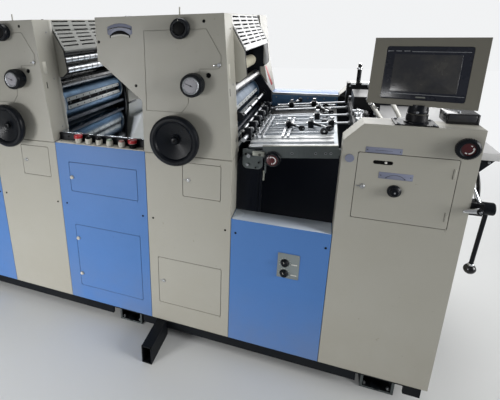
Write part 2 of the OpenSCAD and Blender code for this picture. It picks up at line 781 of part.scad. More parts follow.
// The sunk screen: distance from the left, right, lower and upper edges, and its depth
screen_in = [40, 37, 20, 28];
screen_d = 1.5;
module monitor_post() {
    color("#1b1c1f") {
        post(mon_x, mon_y, post_r, console_top, console_top + post_h);
        block([mon_x - 70, y_front + 4, console_top], [mon_x + 58, frame1_y - seam, console_top + 4]);
    }
}

module monitor() {
    color("#b9b5a8") translate([mon_x, mon_y, console_top + post_h + 0.5]) rotate([0, 0, -mon_turn]) {
        cylinder(r = post_r - 4, h = mon_lift + 8);
        translate([0, 0, mon_lift]) rotate([-mon_tilt, 0, 0])
            difference() {
                block([-mon_w / 2, -mon_t / 2, 0], [mon_w / 2, mon_t / 2, mon_h]);
                round_slab(-mon_w / 2 + screen_in[0], screen_in[2], mon_w - screen_in[0] - screen_in[1],
                    mon_h - screen_in[2] - screen_in[3], 8, -mon_t / 2 - over, -mon_t / 2 + screen_d);
            }
    }
}

// Pieces on the feed board are drawn on a level board, then sloped
module on_board() {
    translate([feeder_left, 0, board_z]) rotate([0, -board_slope, 0]) children();
}

board_len = feeder_bay_w - 4;
board_start = 60;
rail1_y = y_front + rail_back;
board_y0 = rail1_y + rail_t;
rail2_y = wall_y - rail_t;
rail_start = 112;
drive_plate_w = 84;
drive_plate_h = 83;
drive_knob_at = [154, seam_z + 7];
drive_knob_r = 25;
drive_plate_x = 31;
drive_pin_x = 126;
drive_pin_l = 100;
RAIL_HOLES = [228, 316, 352, 371];
module feed_board() {
    color("#c3c6c9") {
        difference() {
            on_board() {
                block([board_start, board_y0 - over, -board_t], [board_len - 4, rail2_y + over, 0]);
                block([rail_start, rail1_y, -rail_h], [board_len - 4, board_y0, 6]);
                block([8, rail2_y, -rail_h], [board_len - 4, wall_y, 6]);
            }
            for (x = RAIL_HOLES)
                bar_y(feeder_left + x, board_z - 24 + x * tan(board_slope), 3,
                    rail1_y - over, board_y0 + over);
        }
        translate([feeder_left, 0, 0]) {
            round_slab(drive_plate_x, board_z - 3 - drive_plate_h, drive_plate_w, drive_plate_h, 22,
                rail1_y, rail1_y + 8);
            block([drive_plate_x, rail1_y, board_z - 30], [rail_start + 12, board_y0, board_z - 3]);
            bar_y(drive_plate_x + 27, board_z - 26, 10, rail1_y - 6, rail1_y + over);
            bar_y(drive_knob_at[0], drive_knob_at[1], drive_knob_r + 7, rail1_y - 8, board_y0);
            bar_y(drive_knob_at[0], drive_knob_at[1], drive_knob_r, rail1_y - 22, rail1_y);
            post(drive_pin_x, rail1_y + 6, 4, board_z - drive_pin_l, board_z - 6);
        }
        block([console_left - 20, rail1_y, board_z + 6], [console_left, board_y0, board_z + 32]);
    }
}

// Slats along the board: middle, width; and the cross bars that lie on them
SLATS = [[-392, 44], [-333, 52], [-257, 20], [-214, 14], [-170, 14], [-116, 14], [-60, 14], [-4, 14],
         [60, 16], [118, 20], [330, 24]];
CROSS_BARS = [67, 88, 174, 196];
slat_h = 8;
// Round rods over the board: distance from mid-depth and where each starts
RODS_OVER = [[-180, 130], [-16, 130], [162, 88], [300, 84]];
over_rod_r = 5;
over_rod_z = 26;
// Clamps on those rods: along the board, across it; and the reach of the arm that each carries
CLAMPS = [[160, 300, [46, 30, 14]], [282, 300, [0, 0, 0]], [310, 162, [60, -140, 2]],
          [190, -180, [64, -120, 6]], [286, -180, [78, -132, 6]], [308, -16, [0, 0, 0]],
          [372, -180, [0, 0, 0]]];
clamp_w = 24;
arm_r = 6;
ball_r = 13;
// The register shaft at the low end of the board
register_x = 34;
REGISTERS = [-380, -260, -140, -20, 100, 210];
module hold_down_rods() {
    color("#c3c6c9") on_board() {
        for (x = CROSS_BARS)
            block([x, board_y0 + 104, slat_h - 0.5], [x + bar_w, 40, slat_h + bar_w]);
        for (s = SLATS)
            block([s[1] > 40 ? 52 : 30, s[0] - s[1] / 2, 0], [board_len - 20, s[0] + s[1] / 2, slat_h]);
        for (r = RODS_OVER)
            bar_x(r[0], over_rod_z, over_rod_r, r[1], board_len + 46);
        for (c = CLAMPS) {
            block([c[0] - clamp_w / 2, c[1] - clamp_w / 2 - 2, 0],
                  [c[0] + clamp_w / 2, c[1] + clamp_w / 2 + 2, over_rod_z + 14]);
            if (norm(c[2]) > 0)
                translate([c[0], c[1], over_rod_z + 4]) {
                    rotate([0, acos(c[2][2] / norm(c[2])), atan2(c[2][1], c[2][0])]) {
                        cylinder(r = arm_r, h = norm(c[2]));
                        translate([0, 0, norm(c[2])]) sphere(r = ball_r);
                    }
                }
        }
        bar_y(register_x, 30, 9, board_y0 - 2, rail2_y);
        bar_y(register_x - 16, 52, 6, inner1_y + 6, inner2_y - 6);
        for (y = REGISTERS)
            block([register_x - 24, y, 4], [register_x + 16, y + 26, 60]);
    }
}

head_x = console_left + 40;
head_z = console_top - 98;
tower_y = 250;
tube_at = [119, 204];
module feeder_head() {
    color("#1d1e21") {
        block([head_x, frame1_y, head_z], [head_x + 50, wall_y, head_z + 50]);
        block([head_x + 10, -60, head_z + 50 - over], [head_x + 120, 160, head_z + 110]);
        block([head_x - 10, tower_y, head_z + 20], [head_x + 106, tower_y + 70, head_z + 128]);
        post(head_x + 44, tower_y + 40, 9, head_z + 120, head_z + 222);
        post(head_x + 44, tower_y + 40, 13, head_z + 196, head_z + 206);
        for (y = [-40, 20, 80, 140]) {
            post(head_x + 104, y, 9, head_z + 20, head_z + 60);
            post(head_x + 104, y, 14, head_z + 6, head_z + 22);
        }
        for (x = tube_at)
            translate([console_left + x, -25, console_top - 4]) rotate([0, 150, 0])
                cylinder(r = 9, h = 84);
        bar_x(-25, console_top - 10, 8, head_x + 60, console_left + tube_at[1] + 10);
        block([console_right - 97, frame1_y - 28, console_top],
              [console_right - 4, frame1_y + 44, console_top + 34]);
    }
}

post_t = 14;
pile_y0 = frame1_y + post_t;
pile_y1 = wall_y - post_t;
pile_out = 90;
gusset_t = 4;
gusset_h = 120;
module feeder_pile_board() {
    color("#c9c6bb")
        block([console_left + 120, pile_y0, pile_z - pile_t], [console_right + pile_out, pile_y1, pile_z]);
    color("#3f4244") {
        for (y = [frame1_y, pile_y1], x = [console_left + 160, console_right - 60])
            block([x, y, panel_z], [x + 30, y + post_t, pile_z - 4]);
        top = pile_z - pile_t + over;
        for (y = [pile_y0, pile_y1 - gusset_t])
            slab_y([[console_right - 20, top], [console_right + pile_out - 10, top],
                [console_right - 20, top - gusset_h]], y, y + gusset_t);
    }
}

// The lever hangs down beside the console and swings about X
lever_y = y_front + 20;
lever_w = 32;
lever_x = console_right + 38;
pivot_r = 10;
lever_ball_r = 19;
module pile_lever() {
    color("#17181b") translate([lever_x, lever_y, lever_z]) {
        difference() {
            bar_x(0, 0, lever_hub_r, 0, lever_w);
            bar_x(0, 0, pivot_r + journal_gap, -over, lever_w - 6);
        }
        translate([lever_w / 2, 0, 0]) rotate([lever_lean, 0, 0]) {
            post(0, 0, 7, -lever_arm, -lever_hub_r + 2);
            translate([0, 0, -lever_arm]) sphere(r = lever_ball_r);
        }
    }
}

// The bracket carries the lever's pivot, a bowed rod and two tapered clamping handles
bow_rise = 119;
bow_reach = [-10, 82];
handle_x = lever_x - 18;
module lever_bracket() {
    reach = norm(bow_reach);
    turn = 2 * atan(reach / bow_rise);
    bow_r = bow_rise / sin(turn);
    color("#17181b") {
        block([console_right, lever_y - 22, lever_z - 22], [lever_x - 1, lever_y + 22, lever_z + 22]);
        bar_x(lever_y, lever_z, pivot_r, lever_x - 2, lever_x + lever_w - 8);
        translate([handle_x + 1, lever_y, lever_z + 20])
            rotate([0, 0, atan2(bow_reach[1], bow_reach[0])]) translate([bow_r, 0, 0]) rotate([90, 0, 0])
                rotate([0, 0, 180 - turn]) rotate_extrude(angle = turn)
                    translate([bow_r, 0]) circle(r = 6, $fn = 32);
        translate([handle_x, lever_y - 20, lever_z + 4]) rotate([90, 0, 0]) cylinder(r = 9, h = 30);
        translate([handle_x, lever_y - 40, lever_z + 4]) rotate([0, -100, 0])
            cylinder(r1 = 10, r2 = 5, h = 44);
        translate([lever_x - 12, lever_y, lever_z + 19]) rotate([0, -23, 0])
            cylinder(r1 = 8, r2 = 3.5, h = 56);
    }
}

module delivery_rails() {
    rail_z = seam_z - 2;
    color("#7d8084") for (y = [frame1_y, bay_rear_y - 20])
        slab_y([[delivery_left + 40, rail_z], [bay1_left, rail_z], [bay1_right, rail_z - 240],
            [bay1_right, rail_z - 200], [bay1_left, rail_z + 40], [delivery_left + 40, rail_z + 40]],
            y, y + 20);
    color("#c3c6c9") for (x = [delivery_left + 70, delivery_left + 190, bay1_left - 20])
        bar_y(x, rail_z + 20, 9, frame1_y + 20 - over, bay_rear_y - 20 + over);
}

delivery_pile_z = panel_z + 325;
module delivery_pile_board() {
    color("#c9c6bb")
        block([delivery_left + 10, pile_y0, delivery_pile_z - pile_t],
              [bay1_left - 10, bay_rear_y - post_t, delivery_pile_z]);
    color("#3f4244") for (y = [frame1_y, bay_rear_y - post_t], x = [delivery_left + 60, bay1_left - 90])
        block([x, y, panel_z], [x + 30, y + post_t, seam_z - 2]);
}

base_frame();
transverse_feet();
support_tube();
side_frames();
unit1_upper_cover();
unit1_lower_cover();
unit2_upper_cover();
unit2_lower_cover();
rear_covers();
top_covers();
unit1_ink_guard();
unit2_ink_guard();
mid_panel();
bay_panels();
rear_panels();
button_ledge();
sheet_plate();
operator_console();
feeder_rear_cabinet();
delivery_cabinets();
monitor_post();
monitor();
feed_board();
hold_down_rods();
feeder_head();
feeder_pile_board();
delivery_rails();
delivery_pile_board();
ink_rollers();
unit1_plate_cylinder();
unit1_blanket_cylinder();
unit1_impression_cylinder();
unit2_plate_cylinder();
unit2_blanket_cylinder();
unit2_impression_cylinder();
unit1_handwheel();
unit2_handwheel();
pile_lever();
lever_bracket();
unit1_top_knob();
unit2_top_knob();
unit1_dial_knob();
unit2_dial_knob();
console_door();
mid_upper_door();
mid_lower_door();
unit1_small_door();
unit2_small_door();
unit2_lower_door();
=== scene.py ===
"""Looks and small parts of a two-colour sheet-fed offset press, with sizes in millimetres."""
import logging
import math
from dataclasses import dataclass, field
from enum import Enum
from typing import Sequence

import bmesh
import bpy
from mathutils import Matrix, Vector


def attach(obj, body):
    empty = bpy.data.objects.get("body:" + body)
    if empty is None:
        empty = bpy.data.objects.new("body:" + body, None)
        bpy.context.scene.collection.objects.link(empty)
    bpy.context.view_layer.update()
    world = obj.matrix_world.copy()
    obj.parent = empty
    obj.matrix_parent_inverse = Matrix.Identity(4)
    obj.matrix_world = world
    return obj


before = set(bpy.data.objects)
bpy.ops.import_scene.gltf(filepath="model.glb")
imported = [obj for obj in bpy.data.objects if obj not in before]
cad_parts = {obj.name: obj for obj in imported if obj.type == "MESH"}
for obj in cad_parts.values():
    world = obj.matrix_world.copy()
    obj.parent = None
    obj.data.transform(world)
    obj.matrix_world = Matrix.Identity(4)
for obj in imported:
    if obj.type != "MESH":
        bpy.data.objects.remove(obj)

log = logging.getLogger("press")
Point = tuple[float, float, float]
Flat = tuple[float, float]
Colour = tuple[float, float, float, float]

MILLIMETRE = 0.001
ORIGIN: Point = (0, 0, 0)
UP: Point = (0, 0, 1)
TO_FRONT: Point = (0, -1, 0)
TO_REAR: Point = (0, 1, 0)
TO_RIGHT: Point = (1, 0, 0)
HAND_TURN = math.degrees(0.5)
COVER_SCREW: Flat = (4.8, 2.2)
PANEL_SCREW: Flat = (4.8, 1.9)
DUST = "8f8778"
NO_LIGHT: Colour = (0.0, 0.0, 0.0, 1.0)


class Slot(Enum):
    """Material slots of the record."""

    CREAM = "cream_paint"
    PALE = "pale_paint"
    BLUE = "blue_paint"
    GREY = "grey_paint"
    WHITE = "white_paint"
    BLACK = "black_paint"
    DARK_STEEL = "dark_steel"
    GROUND = "ground_steel"
    BRIGHT = "bright_steel"
    POLISHED = "polished_steel"
    RUBBER = "roller_rubber"
    PLASTIC = "black_plastic"
    BOARD = "board_metal"


class Axis(Enum):
    """Direction along which a turned or rolled surface shows its grain."""

    X = (1.0, 0.06, 0.06)
    Y = (0.06, 1.0, 0.06)
    NONE = (1.0, 1.0, 1.0)


def linear(hex_colour: str) -> Colour:
    """Linear colour of a written sRGB colour.

    Args:
        hex_colour: six hexadecimal digits.

    Returns:
        Red, green, blue and alpha for a shader socket.
    """
    parts = [int(hex_colour[i:i + 2], 16) / 255 for i in (0, 2, 4)]
    red, green, blue = (c / 12.92 if c < 0.04045 else ((c + 0.055) / 1.055) ** 2.4 for c in parts)
    return (red, green, blue, 1.0)


class Tree:
    """Short way to add and join the nodes of one shader tree."""

    def __init__(self, tree: bpy.types.NodeTree) -> None:
        """Start on a tree.

        Args:
            tree: the node tree that gets the nodes.
        """
        self.tree = tree

    def node(self, kind: str, inputs: dict[str | int, object] | None = None, **settings: object) -> bpy.types.Node:
        """Add a node, set its fields and its sockets.

        Args:
            kind: the node's type name after "ShaderNode".
            inputs: socket values, or sockets to join.
            **settings: the node's own fields.

        Returns:
            The new node.
        """
        new = self.tree.nodes.new(f"ShaderNode{kind}")
        for key, value in settings.items():
            setattr(new, key, value)
        for key, value in (inputs or {}).items():
            self.feed(new.inputs[key], value)
        return new

    def feed(self, socket: bpy.types.NodeSocket, value: object) -> None:
        """Set an input, or join it.

        Args:
            socket: the input.
            value: a plain value, or the socket that it is joined to.
        """
        if isinstance(value, bpy.types.NodeSocket):
            self.tree.links.new(value, socket)
        else:
            socket.default_value = value

    def math(self, operation: str, first: object, second: object = 0.5, clamp: bool = False) -> bpy.types.NodeSocket:
        """Join two values by a Math operation, kept between 0 and 1 on demand."""
        return self.node("Math", {0: first, 1: second}, operation=operation, use_clamp=clamp).outputs[0]

    def ramp(self, value: bpy.types.NodeSocket, low: float, high: float) -> bpy.types.NodeSocket:
        """Map a value from low..high to 0..1, held at the ends."""
        return self.node("MapRange", {"Value": value, "From Min": low, "From Max": high}).outputs[0]

    def mix(self, factor: object, first: object, second: object) -> bpy.types.NodeSocket:
        """Mix two colours by the share of the second one."""
        return self.node("Mix", {0: factor, 6: first, 7: second}, data_type="RGBA").outputs[2]

    def noise(self, where: bpy.types.NodeSocket, scale: object, detail: float,
              roughness: float = 0.5) -> bpy.types.NodeSocket:
        """Add a noise texture."""
        inputs = {"Vector": where, "Scale": scale, "Detail": detail, "Roughness": roughness}
        return self.node("TexNoise", inputs).outputs[0]

    def over(self, mask: bpy.types.NodeSocket, share: float, below: object, above: str) -> bpy.types.NodeSocket:
        """Lay a written colour over another one where a mask is, to a share of it."""
        return self.mix(self.math("MULTIPLY", mask, share), below, linear(above))


@dataclass(frozen=True)
class GroupMaker:
    """Builds the shader groups that several finishes share."""

    def start(self, name: str, ins: Sequence[tuple[str, str, object]],
              outs: Sequence[tuple[str, str]]) -> tuple[Tree, dict]:
        """Make an empty group with its sockets.

        Args:
            name: the group's name.
            ins: name, kind and default of each input.
            outs: name and kind of each output.

        Returns:
            The tree helper and the two end nodes.
        """
        group = bpy.data.node_groups.new(name, "ShaderNodeTree")
        for label, kind, default in ins:
            socket = group.interface.new_socket(label, in_out="INPUT", socket_type=f"NodeSocket{kind}")
            if default is not None:
                socket.default_value = default
        for label, kind in outs:
            group.interface.new_socket(label, in_out="OUTPUT", socket_type=f"NodeSocket{kind}")
        ends = {"in": group.nodes.new("NodeGroupInput").outputs, "out": group.nodes.new("NodeGroupOutput").inputs}
        return Tree(group), ends

    def weathering(self) -> bpy.types.NodeTree:
        """Cloudy stains, small specks and dust that gathers low down.

        Returns:
            The group, with the masks Cloud, Speck and Dust.
        """
        t, ends = self.start(
            "weathering",
            [("Vector", "Vector", None), ("Cloud Scale", "Float", 3.0), ("Speck Scale", "Float", 60.0),
             ("Speck Cut", "Float", 0.7)],
            [("Cloud", "Float"), ("Speck", "Float"), ("Dust", "Float")])
        given, made = ends["in"], ends["out"]
        vec, cut = given["Vector"], given["Speck Cut"]
        cloud = t.noise(vec, given["Cloud Scale"], 5.0, 0.62)
        speck = t.noise(vec, given["Speck Scale"], 3.0)
        low = t.node("SeparateXYZ", {0: vec}).outputs["Z"]
        t.feed(made["Cloud"], t.ramp(cloud, 0.38, 0.68))
        t.feed(made["Speck"], t.ramp(speck, cut, t.math("ADD", cut, 0.06)))
        t.feed(made["Dust"], t.math("MULTIPLY", t.ramp(low, 0.42, 0.06), t.ramp(cloud, 0.3, 0.6)))
        return t.tree

    def soft_edge(self) -> bpy.types.NodeTree:
        """A rounded normal at sharp edges and a mask of where they are.

        Returns:
            The group, with Normal and Edge.
        """
        t, ends = self.start("soft_edge", [("Radius", "Float", 0.002)], [("Normal", "Vector"), ("Edge", "Float")])
        bevel = t.node("Bevel", {"Radius": ends["in"]["Radius"]}, samples=4)
        true_normal = t.node("NewGeometry").outputs["Normal"]
        near = t.node("VectorMath", {0: bevel.outputs[0], 1: true_normal}, operation="DOT_PRODUCT").outputs["Value"]
        t.feed(ends["out"]["Normal"], bevel.outputs[0])
        t.feed(ends["out"]["Edge"], t.ramp(near, 0.985, 0.85))
        return t.tree

    def grain(self) -> bpy.types.NodeTree:
        """Fine lines of a turned, ground or rolled metal.

        Returns:
            The group, with Lines and Blotch.
        """
        t, ends = self.start(
            "metal_grain",
            [("Vector", "Vector", None), ("Stretch", "Vector", (1.0, 1.0, 1.0)), ("Scale", "Float", 300.0)],
            [("Lines", "Float"), ("Blotch", "Float")])
        vec = ends["in"]["Vector"]
        drawn = t.node("VectorMath", {0: vec, 1: ends["in"]["Stretch"]}, operation="MULTIPLY").outputs[0]
        t.feed(ends["out"]["Lines"], t.ramp(t.noise(drawn, ends["in"]["Scale"], 3.0, 0.6), 0.3, 0.7))
        t.feed(ends["out"]["Blotch"], t.ramp(t.noise(vec, 7.0, 4.0, 0.6), 0.35, 0.7))
        return t.tree


class Groups:
    """The shared shader groups, each made once."""

    def __init__(self) -> None:
        """Make the three groups."""
        maker = GroupMaker()
        self.weathering = maker.weathering()
        self.soft_edge = maker.soft_edge()
        self.grain = maker.grain()


GROUPS = Groups()


class Sheet:
    """A material in the making: coordinates, groups and the main shader."""

    def __init__(self, name: str) -> None:
        """Start a material.

        Args:
            name: the material's name.
        """
        self.material = bpy.data.materials.new(name)
        self.material.use_nodes = True
        tree = self.material.node_tree
        self.t = Tree(tree)
        self.shader = tree.nodes["Principled BSDF"]
        self.where = self.t.node("TexCoord").outputs["Object"]

    def group(self, tree: bpy.types.NodeTree, **values: object) -> bpy.types.NodeSocket:
        """Place a shared group.

        Args:
            tree: the group.
            **values: its inputs, with _ for a space.

        Returns:
            The group node's outputs.
        """
        node = self.t.node("Group", node_tree=tree)
        for key, value in values.items():
            self.t.feed(node.inputs[key.replace("_", " ")], value)
        return node.outputs

    def rough_skin(self, height: bpy.types.NodeSocket, normal: bpy.types.NodeSocket, depth: float,
                   strength: float = 0.5) -> bpy.types.NodeSocket:
        """A normal that shows a fine height."""
        inputs = {"Strength": strength, "Distance": depth, "Height": height, "Normal": normal}
        return self.t.node("Bump", inputs).outputs[0]

    def feed(self, **values: object) -> bpy.types.Material:
        """Set or join inputs of the main shader.

        Args:
            **values: plain values or sockets, with _ for a space.

        Returns:
            The material.
        """
        for key, value in values.items():
            self.t.feed(self.shader.inputs[key.replace("_", " ")], value)
        return self.material


@dataclass(frozen=True)
class PaintFinish:
    """Sprayed enamel with stains, specks, dust and rubbed edges."""

    name: str
    colour: str
    stain: str
    worn: str
    roughness: float = 0.42
    cloud: float = 0.35
    speck_cut: float = 0.72
    dust: float = 0.25
    edge: float = 0.35
    peel: float = 0.00012
    radius: float = 0.0022
    coat: float = 0.12
    shine: float = 0.5

    def material(self) -> bpy.types.Material:
        """Build the material.

        Returns:
            The paint as a node material.
        """
        s = Sheet(self.name)
        t = s.t
        wear = s.group(GROUPS.weathering, Vector=s.where, Speck_Cut=self.speck_cut)
        edge = s.group(GROUPS.soft_edge, Radius=self.radius)
        colour = t.over(wear["Cloud"], self.cloud, linear(self.colour), self.stain)
        colour = t.over(wear["Speck"], 0.5, colour, self.worn)
        colour = t.over(wear["Dust"], self.dust, colour, DUST)
        rubbed = t.math("MULTIPLY", edge["Edge"], t.math("MULTIPLY", wear["Cloud"], self.edge, True))
        colour = t.mix(rubbed, colour, linear(self.worn))
        rough = t.math("ADD", t.math("MULTIPLY", wear["Cloud"], 0.12), self.roughness)
        bump = s.rough_skin(t.noise(s.where, 420.0, 2.0), edge["Normal"], self.peel)
        return s.feed(Base_Color=colour, Roughness=rough, Normal=bump, Coat_Weight=self.coat, Coat_Roughness=0.25,
                      Specular_IOR_Level=self.shine)


@dataclass(frozen=True)
class MetalFinish:
    """Bare or plated metal with machining lines and dull patches."""

    name: str
    colour: str
    dull: str
    roughness: float = 0.28
    spread: float = 0.18
    axis: Axis = Axis.NONE
    scale: float = 260.0
    patches: float = 0.4
    metallic: float = 1.0
    depth: float = 0.00006
    radius: float = 0.0012

    def material(self) -> bpy.types.Material:
        """Build the material.

        Returns:
            The metal as a node material.
        """
        s = Sheet(self.name)
        t = s.t
        grain = s.group(GROUPS.grain, Vector=s.where, Stretch=self.axis.value, Scale=self.scale)
        wear = s.group(GROUPS.weathering, Vector=s.where, Cloud_Scale=9.0, Speck_Cut=0.68)
        edge = s.group(GROUPS.soft_edge, Radius=self.radius)
        colour = t.over(grain["Blotch"], self.patches, linear(self.colour), self.dull)
        colour = t.over(wear["Speck"], 0.35, colour, self.dull)
        lines = t.math("MULTIPLY", grain["Lines"], self.spread)
        rough = t.math("ADD", t.math("MULTIPLY", grain["Blotch"], self.spread), t.math("ADD", lines, self.roughness),
                       True)
        bump = s.rough_skin(grain["Lines"], edge["Normal"], self.depth, 0.6)
        return s.feed(Base_Color=colour, Roughness=rough, Metallic=self.metallic, Normal=bump)


@dataclass(frozen=True)
class MouldedFinish:
    """Moulded plastic or rubber with a fine texture and finger marks."""

    name: str
    colour: str
    mark: str
    roughness: float = 0.45
    marks: float = 0.35
    scale: float = 500.0
    depth: float = 0.0001
    coat: float = 0.1
    shine: float = 0.3

    def material(self) -> bpy.types.Material:
        """Build the material.

        Returns:
            The moulded material.
        """
        s = Sheet(self.name)
        t = s.t
        wear = s.group(GROUPS.weathering, Vector=s.where, Cloud_Scale=14.0, Speck_Scale=150.0, Speck_Cut=0.66)
        edge = s.group(GROUPS.soft_edge, Radius=0.0015)
        colour = t.over(wear["Cloud"], self.marks, linear(self.colour), self.mark)
        colour = t.over(wear["Speck"], 0.3, colour, self.mark)
        rough = t.math("ADD", t.math("MULTIPLY", wear["Cloud"], 0.2), self.roughness, True)
        bump = s.rough_skin(t.noise(s.where, self.scale, 2.0), edge["Normal"], self.depth)
        return s.feed(Base_Color=colour, Roughness=rough, Normal=bump, Coat_Weight=self.coat, Coat_Roughness=0.2,
                      Specular_IOR_Level=self.shine)


Finish = PaintFinish | MetalFinish | MouldedFinish


class Finishes:
    """Every finish of the press, by a short name, made once when first used."""

    SPECS: dict[str, Finish] = {
        "cream": PaintFinish("cream_enamel", "a8a69c", "a09d90", "85826f"),
        "cream_top": PaintFinish("cream_enamel_lid", "b4b2a8", "a8a699", "88867a"),
        "pale": PaintFinish("pale_ledge_enamel", "c6c3b8", "b4b0a2", "7e7b70"),
        "blue": PaintFinish("blue_enamel", "4676b6", "4170ac", "3a5880", cloud=0.5),
        # This darker blue is the blue paint darkened as painted shade, for the inner face of the rear housing beside
        # the feed board.
        "blue_painted_shade": PaintFinish("blue_enamel_painted_shade", "456a8e", "3c5b7a", "5d7c9b"),
        # This grey is painted shade for unit 1's guard, which has the same white guard paint as unit 2; the screen's
        # small tab uses it as its own grey.
        "grey": PaintFinish("grey_enamel_and_guard_painted_shade", "74766f", "6b6d67", "53544f"),
        "white": PaintFinish("white_guard_enamel", "bababa", "b0b0ae", "8c8c8a"),
        "black": PaintFinish("black_enamel", "0b0c0f", "121317", "34363a", roughness=0.34, dust=0.05, coat=0.05,
                             shine=0.22),
        "base": PaintFinish("base_enamel", "080d13", "0e141b", "2a2e31", roughness=0.5, dust=0.02, coat=0.0,
                            shine=0.12),
        "casting": PaintFinish("frame_enamel", "090d15", "10151d", "2a3038", roughness=0.42, dust=0.04, coat=0.04,
                               shine=0.22),
        "ground": MetalFinish("ground_steel_turned", "a0a3a7", "6d7074", roughness=0.3, axis=Axis.Y),
        "bright": MetalFinish("bright_bar_steel", "cfd2d6", "8f9296", roughness=0.16, axis=Axis.Y),
        "sheet": MetalFinish("board_sheet_steel", "dfe6ec", "b3bcc4", roughness=0.2, axis=Axis.X, metallic=0.3),
        "polished": MetalFinish("polished_sheet_steel", "cdd4db", "a9b1b9", roughness=0.04, spread=0.02, axis=Axis.X),
        "chrome": MetalFinish("chrome_plate", "dfe1e4", "b5b8bb", roughness=0.08, spread=0.05, patches=0.25),
        "rail_steel": MetalFinish("rail_dull_steel", "565c5c", "42484a", roughness=0.38, axis=Axis.X, metallic=0.55),
        "rail_edge": MetalFinish("rail_worn_steel", "9a9c94", "70736c", roughness=0.26, axis=Axis.X, metallic=0.8),
        "plate": MetalFinish("printing_plate_metal", "4a6985", "2a4157", roughness=0.24, axis=Axis.Y, metallic=0.6),
        # The darker copy of the plate metal is painted shade on unit 2's plate cylinder.
        "plate_painted_shade": MetalFinish("printing_plate_metal_painted_shade", "33506a", "1e3347", roughness=0.24, axis=Axis.Y,
                                  metallic=0.6),
        "bearer": MetalFinish("bearer_ring_steel", "aab0b6", "7d838a", roughness=0.2),
        "clamp": MetalFinish("clamp_bar_steel", "d6dada", "a9adab", roughness=0.34, axis=Axis.Y, metallic=0.35),
        "blanket": MouldedFinish("printing_blanket_rubber", "33475a", "26333f", roughness=0.42, coat=0.25),
        "roller": MouldedFinish("ink_roller_rubber", "10131a", "1b1f27", roughness=0.22, coat=0.4, shine=0.5),
        "cream_roller": MouldedFinish("damping_roller_cloth", "b9b4a0", "9d9883", roughness=0.6, coat=0.0),
        "navy": MetalFinish("wash_bar_steel", "222b38", "141a24", roughness=0.3, axis=Axis.Y, metallic=0.5),
        # The ledge colour is a pale blue paint, whitened further as a painted reflection.
        "ledge": PaintFinish("ledge_pale_blue_and_painted_reflection", "e0eaf6", "cbdaec", "8fa5c2", roughness=0.2, dust=0.0, coat=0.5),
        "slat_white": PaintFinish("white_slat_enamel", "e4e7e8", "d3d7d9", "a0a4a9", roughness=0.22, dust=0.0,
                                  coat=0.4),
        "plastic": MouldedFinish("black_moulding", "060a11", "0c1119", roughness=0.26, marks=0.3, coat=0.06,
                                 shine=0.2, depth=0.00004),
        "gloss_black": MouldedFinish("black_gloss_moulding", "07080b", "0e1014", roughness=0.12, coat=0.3, shine=0.4,
                                     depth=0.00003),
        "ink": MouldedFinish("dull_black", "050506", "0a0b0d", roughness=0.5, coat=0.0, shine=0.15),
        "dial": MouldedFinish("dial_face_print", "a6a5ab", "95949a", roughness=0.4, coat=0.2, depth=0.00002),
        "dial_plate": PaintFinish("dial_plate_grey", "7c8484", "6f7676", "4d5252", roughness=0.4, dust=0.0),
        "label": PaintFinish("label_plate_grey_blue", "7d8295", "747990", "5a5e6e", roughness=0.32, dust=0.0),
        "label_pale": PaintFinish("bare_label_pale", "c9c7bb", "bdbaae", "9a978b", roughness=0.4, dust=0.0),
        "line": MouldedFinish("engraved_line", "2c3038", "3a3e48", roughness=0.5),
        "scale": MouldedFinish("white_scale_print", "d5d4ce", "bdbbb3", roughness=0.45),
        "screen_body": PaintFinish("screen_housing_enamel", "7b786d", "737065", "5c5a50", cloud=0.25),
        "bezel": MouldedFinish("screen_bezel_dark", "1a1d28", "20232d", roughness=0.2, coat=0.25, shine=0.3,
                               depth=0.00002),
        "glass": MouldedFinish("screen_glass_dark", "2b2c31", "4d4b45", roughness=0.12, marks=0.6, coat=0.35,
                               shine=0.35, depth=0.00001),
        "screen_line": MetalFinish("screen_line_silver", "9da0a4", "85888c", roughness=0.3),
        "button_white": MouldedFinish("button_white_moulding", "d0cec4", "b5b3a8", roughness=0.35, coat=0.3),
        "button_red": MouldedFinish("button_red_moulding", "b01722", "8f1019", roughness=0.3, coat=0.5),
        "lens_green": MouldedFinish("button_lens_green", "9fb09a", "7f927b", roughness=0.15, coat=0.8),
        "lens_red": MouldedFinish("button_lens_red", "a87a74", "8d5d58", roughness=0.15, coat=0.8),
        "dark_red": MouldedFinish("knob_middle_dark_red", "4a0d14", "36090e", roughness=0.25, coat=0.6),
        "arrow": MouldedFinish("arrow_white_print", "dcdcda", "c2c2be", roughness=0.4),
        "red": PaintFinish("red_strip_enamel", "b3121c", "95101a", "6d0d14", dust=0.0),
        "tube_white": MouldedFinish("pale_tube_moulding", "dddcd6", "c4c2ba", roughness=0.3, coat=0.4),
    }

    def __init__(self) -> None:
        """Start with no materials."""
        self.made: dict[str, bpy.types.Material] = {}

    def get(self, name: str) -> bpy.types.Material:
        """The material of a finish.

        Args:
            name: the finish's short name.

        Returns:
            Its material.
        """
        if name not in self.made:
            self.made[name] = self.SPECS[name].material()
        return self.made[name]


FINISHES = Finishes()


